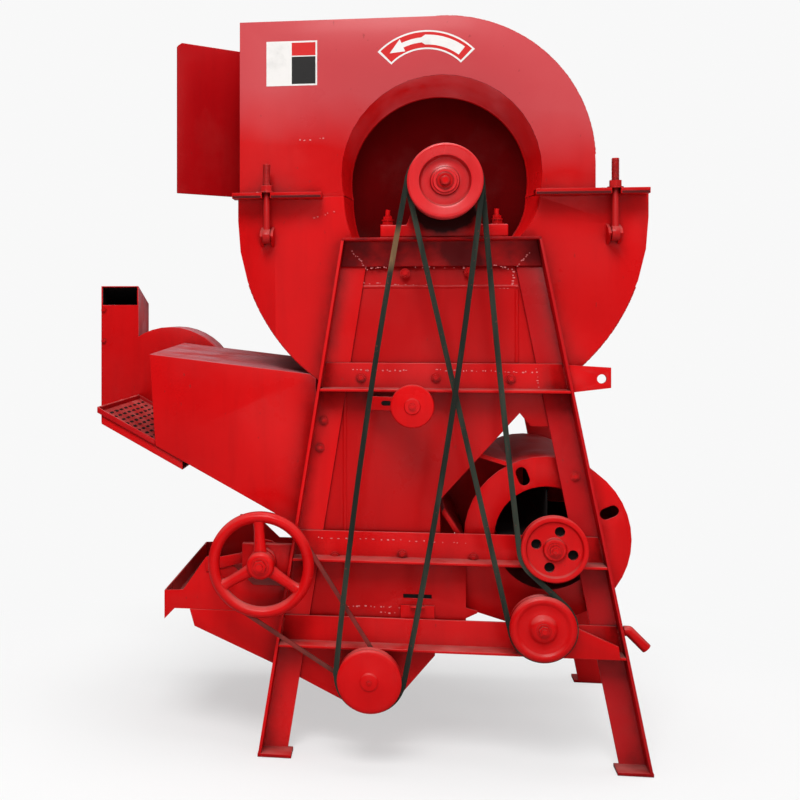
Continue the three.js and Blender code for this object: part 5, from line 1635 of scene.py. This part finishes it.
    def ear_shade(self) -> None:
        """A dark strip of painted shade on the front edges of the lower ears, broken by the bolts'
        slots.
        """
        low, high = self.ear_edge
        sketch = Sketch()
        for left, right in self.ears:
            sketch.box((left, self.ear_front - 0.5, low), (right, self.ear_front + 0.2, high))
        self.shop.place(sketch.piece("ear_shade", self.shop.palette["edge_shade"]), slot=Slot.DARK)

    def decal(self, name: str, outline: Sequence[Flat], lift: float, look: str) -> None:
        """A thin sheet on the cover's front.

        Args:
            name: the piece's name.
            outline: (x, z) corners in order.
            lift: how far its face stands off the plate, in mm.
            look: its material in the palette.
        """
        sketch = Sketch()
        y = self.front - lift
        sketch.prism(outline, y, y + 0.16)
        self.shop.place(sketch.piece(name, self.shop.palette[look]), slot=Slot.FADED)

    def rotation_band(self) -> None:
        """A curved band with an arrow that points to the left."""
        x, z = self.arrow
        outer, inner = self.band
        half = self.spread

        def ring_part(outer: float, inner: float, half: float) -> list[Flat]:
            """Outline of a band between two radii that spreads half degrees each way."""
            low, high = 90 - half, 90 + half
            return arc(x, z, outer, high, low, 30) + arc(x, z, inner, low, high, 30)

        def spot(radius: float, angle: float) -> Flat:
            """The point at a radius and an angle from straight up."""
            turn = math.radians(90 - angle)
            return (x + radius * math.cos(turn), z + radius * math.sin(turn))

        self.decal("arrow_border", ring_part(outer, inner, half), 0.30, "sticker_white")
        field = ring_part(outer - 3, inner + 3, half - 2)
        self.decal("arrow_field", field, 0.46, "sticker_red")
        middle = (outer + inner) / 2
        head, tail = 7 - half, half - 8
        neck = head + 15
        steps = [(neck + (tail - neck) * k / 16, 4.4 if k < 6 else 8.8) for k in range(17)]
        body = [spot(middle, head), spot(middle + 12.0, neck)]
        body += [spot(middle + half_wide, angle) for angle, half_wide in steps]
        body += [spot(middle - half_wide, angle) for angle, half_wide in reversed(steps)]
        body += [spot(middle - 12.0, neck)]
        self.decal("arrow", body, 0.62, "sticker_white")

    def block_sticker(self) -> None:
        """A sticker of plain colour blocks."""
        left, right, low, high = self.sticker
        middle = left + 0.5 * (right - left)
        waist = low + 0.66 * (high - low)
        red = block(middle, right - 3, waist + 1, high - 3)
        black = block(middle, right - 3, low + 3, waist - 1)
        self.decal("sticker_sheet", block(left, right, low, high), 0.30, "sticker_white")
        self.decal("sticker_red_block", red, 0.46, "sticker_red")
        self.decal("sticker_black_block", black, 0.46, "sticker_black")


@dataclass
class PanelDresser:
    """Sheet panels, their pressed folds, the gate and the cleaning works.

    Args:
        shop: places the pieces.
    """

    shop: Workshop

    def build(self) -> None:
        """Skins the nodes and adds the folds."""
        for width, nodes in (
            (0.8, ("front_panel", "rear_panel", "discharge_gate")),
            (1.0, ("fan_housing",)),
            (0.7, ("fan_rotor",)),
            (1.2, ("fan_bearing",)),
            (0.9, ("grain_trough",)),
            (0.7, ("grain_auger",)),
            (1.2, ("auger_bearing",)),
            (0.8, ("sieve_tray",)),
            (0.9, ("sieve_pitman",)),
            (0.8, ("crank_shaft",)),
            (1.2, ("crank_bracket",)),
        ):
            self.shop.skins(width, *nodes)
        self.folds()

    def folds(self) -> None:
        """Pressed ridges of the front panel, and the gate's slot."""
        sketch = Sketch()
        for one, two, half, proud in (
            ((-174, 275), (-174, 649), 4.0, 1.8),
            ((-174, 704), (-174, 834), 4.0, 1.8),
            ((128, 704), (128, 834), 4.0, 1.8),
            ((-143, 839), (130, 839), 3.4, 1.6),
        ):
            way = Vector((two[0] - one[0], two[1] - one[1])).normalized()
            over = Vector((-way[1], way[0]))
            rings = []
            for x, z in (one, two):
                ring = []
                for k in (-1.0, -0.6, -0.2, 0.2, 0.6, 1.0):
                    y = 0.05 - proud * math.cos(math.pi * k / 2)
                    ring.append((x + over[0] * half * k, y, z + over[1] * half * k))
                rings.append(ring)
            sketch.loft(rings)
        self.shop.place(sketch.piece("panel_folds", self.shop.palette["panel"]))
        # The gate's slot: a black bar of painted shade.
        slot = Sketch()
        slot.box((-70.0, 0.8, 282.0), (-20.0, 2.6, 289.0))
        self.shop.place(slot.piece("gate_slot", self.shop.palette["shade_black"]), slot=Slot.DARK)


@dataclass
class ChuteDresser:
    """Chaff chute, perforated tray and grain blower.

    Args:
        shop: places the pieces.
        repeat: runs the Geometry Nodes trees.
        tray: left and right edge of the tray.
        deep: front and back edge of the chute.
        low: height of the floor line's left end, and its slope.
        hole: half size of a perforation, in mm.
        rows: distance of the rows of perforations, across the slope.
        slots: length and distance of the perforations in a row.
        sheet: how far the sheet's top lies over the floor line.
        margins: what is left free at the tray's left, right, front and back edges.
        spout_x: left and right inner faces of the blower's spout.
        spout_y: its front and back inner faces.
        spout_roof: its roof's heights at the front and back.
        shade_foot: the height where the spout's painted shade starts.
        shade_top: the height where the painted shade at its back ends.
        shade_black: the painted shade's thickness.
    """

    shop: Workshop
    repeat: Repeater
    tray: Flat = (-632.0, -523.0)
    deep: Flat = (3.0, 403.0)
    low: Flat = (607.0, -0.542)
    hole: float = 2.5
    rows: float = 11.4
    slots: Flat = (20.0, 44.0)
    sheet: float = 3.45
    margins: tuple[float, float, float, float] = (14.0, 6.0, 12.0, 12.0)
    spout_x: Flat = (-710.9, -635.1)
    spout_y: Flat = (406.2, 519.8)
    spout_roof: Flat = (847.3, 811.3)
    shade_foot: float = 690.0
    shade_top: float = 810.0
    shade_black: float = 0.4

    def build(self) -> None:
        """Skins the nodes and adds painted shade, perforations and bolts."""
        self.shop.skins(0.9, "chaff_chute")
        self.shop.skins(0.8, "perforated_tray", "tray_underpan")
        self.shop.skins(1.2, "grain_blower")
        self.lining()
        self.perforations()
        spots = [((-708, 403.0, z), FRONT_WAY, 0.8) for z in (799, 732)]
        self.repeat.bolt("blower_bolts", spots, 31)

    def perforations(self) -> None:
        """Dark discs in staggered rows on the tray: the painted shade in its perforations."""
        left, right = self.tray
        front, back = self.deep
        long, pitch = self.slots
        level, slope = self.low
        at_left, at_right, at_front, at_back = self.margins
        places = []
        x = left + at_left
        row = 0
        while x < right - at_right:
            z = level + slope * (x - left) + self.sheet
            y = front + at_front + (pitch / 2 if row % 2 else 0)
            while y < back - at_back - long:
                places += [(x, y + k * long / 5, z) for k in range(6)]
                y += pitch
            x += self.rows
            row += 1
        normal = Vector((-slope, 0.0, 1.0)).normalized()
        self.repeat.dimples("tray_perforations", places, tuple(normal), self.hole)

    def lining(self) -> None:
        """Black sheets on the walls inside the blower's spout: painted shade."""
        thick, foot = self.shade_black, self.shade_foot
        left, right = self.spout_x
        front, back = self.spout_y
        high, low = self.spout_roof
        inner = (left + thick, right - thick)
        wall = [(front, foot), (back, foot), (back, low - 2 * thick), (front, high - 2 * thick)]
        roof = [(front, high), (back, low), (back, low - thick), (front, high - thick)]
        sketch = Sketch()
        for ends, outline in (
            ((left, inner[0]), wall),
            ((inner[1], right), wall),
            (inner, roof),
        ):
            sketch.loft([[(x, y, z) for y, z in outline] for x in ends])
        sketch.box((inner[0], back - thick, foot), (inner[1], back, self.shade_top))
        self.shop.place(sketch.piece("spout_shade", self.shop.palette["shade_black"]), slot=Slot.DARK)


@dataclass
class DriveDresser:
    """Bearings, arms and swing bolts.

    Args:
        shop: places the pieces.
        repeat: runs the Geometry Nodes trees.
        feet: x of the pillow blocks' bolts.
        blocks: y of the pillow blocks' middles.
        base: height of the pillow blocks' feet.
        swings: each swing bolt's side and x.
        stud: radius of the foot bolts.
        nipple: radii of a lubricating nipple's body and tip.
    """

    shop: Workshop
    repeat: Repeater
    feet: Flat = (-97.0, 91.0)
    blocks: Flat = (-25.0, 570.0)
    base: float = 947.0
    swings: tuple[tuple[str, float], ...] = (("left", -313.0), ("right", 292.0))
    stud: float = 4.4
    nipple: Flat = (3.4, 2.2)

    def build(self) -> None:
        """Skins the nodes and adds bolts, nipples and threads."""
        self.shop.skins(2.2, "front_bearing", "rear_bearing")
        self.shop.skins(1.2, "tension_arm")
        self.shop.skins(1.0, "tension_handle")
        self.shop.skins(1.2, "idler_arm")
        for kind in ("bolt", "nut"):
            self.shop.skins(0.8, *(f"swing_{kind}_{side}" for side, _ in self.swings))
        self.bearing_bolts()
        self.slot()
        self.threads()

    def bearing_bolts(self) -> None:
        """Foot bolts with stacked nuts and a lubricating nipple on each pillow block."""
        up = (0.0, 0.0, 1.0)
        nuts = ((self.base, 1.75), (self.base + 8.5, 1.45), (self.base + 13.0, 1.0))
        feet = [(x, y) for y in self.blocks for x in self.feet]
        spots = [((x, y, z), up, size) for x, y in feet for z, size in nuts]
        self.repeat.bolt("bearing_bolts", spots, 41)
        body, point = self.nipple
        z = self.base
        sketch = Sketch()
        for y in self.blocks:
            for x in self.feet:
                path = [(x, y, z), (x, y, z + 24.0), (x + 0.6, y, z + 28.0)]
                sketch.tube(path, self.stud, 14)
            base = Vector((17.0, y, DRUM_Z + 46.0))
            tip = base + Vector((6.0, 0.0, 15.0))
            sketch.tube([tuple(base), tuple(tip)], body, 12)
            sketch.tube([tuple(tip), tuple(tip + Vector((1.2, 0.0, 3.2)))], point, 12)
        self.shop.place(sketch.piece("lubricating_nipples", self.shop.palette.red))

    def slot(self) -> None:
        """The idler arm's slot: a black plate of painted shade."""
        sketch = Sketch()
        outline = arc(-95, 634, 4.2, -90, 90, 10) + arc(-104, 634, 4.2, 90, 270, 10)
        sketch.prism(outline, -58.25, -57.6)
        self.shop.place(sketch.piece("idler_slot", self.shop.palette["shade_black"]), slot=Slot.DARK)

    def threads(self) -> None:
        """Threads on the swing bolts' upper ends."""
        radius, pitch, turns, steps = 6.05, 2.4, 16, 18
        for side, x in self.swings:
            sketch = Sketch()
            path = []
            for k in range(turns * steps + 1):
                angle = 2 * math.pi * k / steps
                spot = (x + radius * math.cos(angle), self.blocks[0] + radius * math.sin(angle))
                path.append((*spot, 1020.0 + pitch * k / steps))
            sketch.tube(path, 0.75, 6)
            thread = sketch.piece(f"swing_thread_{side}", self.shop.palette.steel)
            self.shop.place(thread, f"bolt_{side}", Slot.STEEL)


@dataclass
class FleckDresser:
    """Rows of pale overspray flecks on the front.

    Args:
        shop: places the pieces.
        seed: fixes the sizes and places.
        rows: x, z of a row's ends, the surface's y and the number of flecks.
    """

    shop: Workshop
    seed: int = 19
    rows: tuple[tuple[int, ...], ...] = (
        *((-163, 905, -150, 891, -10, 5), (-150, 891, -132, 867, -10, 8)),
        *((-128, 873, -99, 873, -10, 7), (86, 878, 121, 867, -10, 7)),
        *((127, 874, 150, 899, -10, 8), (-60, 874, 40, 871, -10, 7)),
        *((-143, 846, 121, 836, 0, 26), (-143, 846, -142, 868, 0, 4)),
        *((121, 838, 123, 866, 0, 6), (-164, 690, -58, 689, -10, 14)),
        *((-16, 691, 157, 688, -10, 22), (160, 695, 165, 660, -10, 6)),
        *((-170, 656, 170, 655, -49, 16), (-228, 388, 46, 385, -10, 22)),
        *((-174, 264, -76, 265, 0, 12), (-281, 201, -182, 201, -49, 12)),
        *((-111, 255, -85, 254, 0, 4), (232, 203, 268, 214, -10, 8)),
        *((-337, 1011, -282, 1010, 0, 8), (-235, 963, -192, 975, 0, 5)),
        *((228, 1009, 300, 1010, 0, 9), (-262, 1105, -206, 1109, 3, 5)),
    )

    def build(self) -> None:
        """Scatters the flecks along their rows."""
        dice = random.Random(self.seed)
        sketch = Sketch()
        for x0, z0, x1, z1, y, count in self.rows:
            for k in range(count):
                share = (k + 0.5 + dice.uniform(-0.4, 0.4)) / count
                x = x0 + (x1 - x0) * share + dice.uniform(-1.2, 1.2)
                z = z0 + (z1 - z0) * share + dice.uniform(-1.2, 1.2)
                wide, high = dice.uniform(0.6, 2.6), dice.uniform(0.6, 1.6)
                turns = (2 * math.pi * i / 8 for i in range(8))
                outline = [(x + wide * math.cos(a), z + high * math.sin(a)) for a in turns]
                sketch.prism(outline, y - 0.25, y + 0.4)
        self.shop.place(sketch.piece("overspray", self.shop.palette["overspray_fleck"]))


# Studio


@dataclass
class Studio:
    """Floor, sky, lamps and camera.

    Args:
        eye: the camera's place in machine millimetres.
        turn: how far it looks to the left, in degrees.
        lens: focal length in mm.
        shift: the lens's shift.
        pale: linear grey of what the camera sees behind the machine.
        half: half of the floor's side, in metres.
    """

    eye: Point = (-72.24, -2450.0, 788.5)
    turn: float = 9.26
    lens: float = 60.75
    shift: Flat = (0.2726, -0.10625)
    pale: float = 0.94
    half: float = 40.0

    def build(self) -> None:
        """Sets the stage."""
        self.floor()
        self.sky()
        self.lamps()
        self.camera()
        bpy.context.scene.view_settings.view_transform = "Standard"

    def floor(self) -> None:
        """A pale sweep that is no part of the machine."""
        c = PaintCanvas("floor")

        def grey(kind: str, level: float) -> bpy.types.Node:
            """A shader of an even grey."""
            return c.add(kind, {"Color": (level, level, level, 1.0)})

        def mixed(share: Source, first: Source, second: Source) -> bpy.types.Node:
            """Two shaders mixed by the second one's share."""
            return c.add("ShaderNodeMixShader", {0: share, 1: first, 2: second})

        far = c.remap(c.length(c.coords), 0.30, 1.20, 0.55, 1.0)
        near = grey("ShaderNodeBsdfDiffuse", 0.90)
        seen = mixed(far, near, grey("ShaderNodeEmission", self.pale))
        ray = c.add("ShaderNodeLightPath").outputs["Is Camera Ray"]
        last = mixed(ray, grey("ShaderNodeBsdfDiffuse", 0.32), seen)
        c.add("ShaderNodeOutputMaterial", {0: last})
        mesh = bpy.data.meshes.new("floor")
        corners = block(-self.half, self.half, -self.half, self.half)
        mesh.from_pydata([(x, y, -0.001) for x, y in corners], [], [(0, 1, 2, 3)])
        finish_mesh("floor", mesh, c.material)

    def sky(self) -> None:
        """Pale to the eye, softly graded as light."""
        world = bpy.data.worlds.new("sky")
        bpy.context.scene.world = world
        world.use_nodes = True
        world.node_tree.nodes.clear()
        c = NodeCanvas(world.node_tree)
        coords = c.add("ShaderNodeTexCoord").outputs["Generated"]
        height = c.add("ShaderNodeSeparateXYZ", {0: coords}).outputs["Z"]
        ramp = c.add("ShaderNodeValToRGB", {0: height})
        for stop, (place, level) in zip(ramp.color_ramp.elements, ((0.0, 0.05), (0.9, 1.0))):
            stop.position = place
            stop.color = (level, level, level, 1.0)
        light = c.add("ShaderNodeBackground", {"Color": ramp, "Strength": 0.40})
        tone = (self.pale, self.pale, self.pale, 1.0)
        plain = c.add("ShaderNodeBackground", {"Color": tone, "Strength": 1.0})
        ray = c.add("ShaderNodeLightPath").outputs["Is Camera Ray"]
        mix = c.add("ShaderNodeMixShader", {0: ray, 1: light, 2: plain})
        c.add("ShaderNodeOutputWorld", {0: mix})

    def lamps(self) -> None:
        """A high soft key from the left, a top lamp, a fill and a low front lamp."""
        for name, spot, aim, size, power, mirrored in (
            ("key", (-0.3, -4.3, 4.7), (0.1, 0.0, 0.6), 2.4, 275.0, True),
            ("top", (0.2, 0.3, 3.6), (0.0, 0.0, 0.9), 2.2, 60.0, True),
            ("fill", (2.6, -3.0, 1.9), (0.0, 0.0, 0.6), 2.0, 16.0, True),
            ("low", (0.3, -3.4, 0.35), (0.1, 0.0, 1.2), 1.6, 56.0, False),
        ):
            lamp = bpy.data.lights.new(name, "AREA")
            lamp.shape = "SQUARE"
            lamp.size = size
            lamp.energy = power
            thing = bpy.data.objects.new(name, lamp)
            thing.location = spot
            way = Vector(aim) - Vector(spot)
            thing.rotation_euler = way.to_track_quat("-Z", "Y").to_euler()
            thing.visible_glossy = mirrored
            bpy.context.scene.collection.objects.link(thing)

    def camera(self) -> None:
        """The photograph's view."""
        data = bpy.data.cameras.new("camera")
        data.lens = self.lens
        data.sensor_width = 36.0
        data.shift_x, data.shift_y = self.shift
        data.clip_start = 0.05
        thing = bpy.data.objects.new("camera", data)
        thing.location = at(*self.eye)
        thing.rotation_euler = (math.radians(90), 0.0, math.radians(self.turn))
        bpy.context.scene.collection.objects.link(thing)
        bpy.context.scene.camera = thing


def main() -> None:
    """Builds the looks on the frame."""
    shop = Workshop(Palette())
    repeat = Repeater(shop)
    for dresser in (
        FrameDresser(shop, repeat),
        HousingDresser(shop, repeat),
        PanelDresser(shop),
        ChuteDresser(shop, repeat),
        DriveDresser(shop, repeat),
        FleckDresser(shop),
        WheelDresser(shop, repeat),
    ):
        dresser.build()
    left = sorted(set(shop.home) - shop.taken)
    LOG.info("nodes without a piece of their own: %s", left)
    Studio().build()


if __name__ == "__main__":
    main()
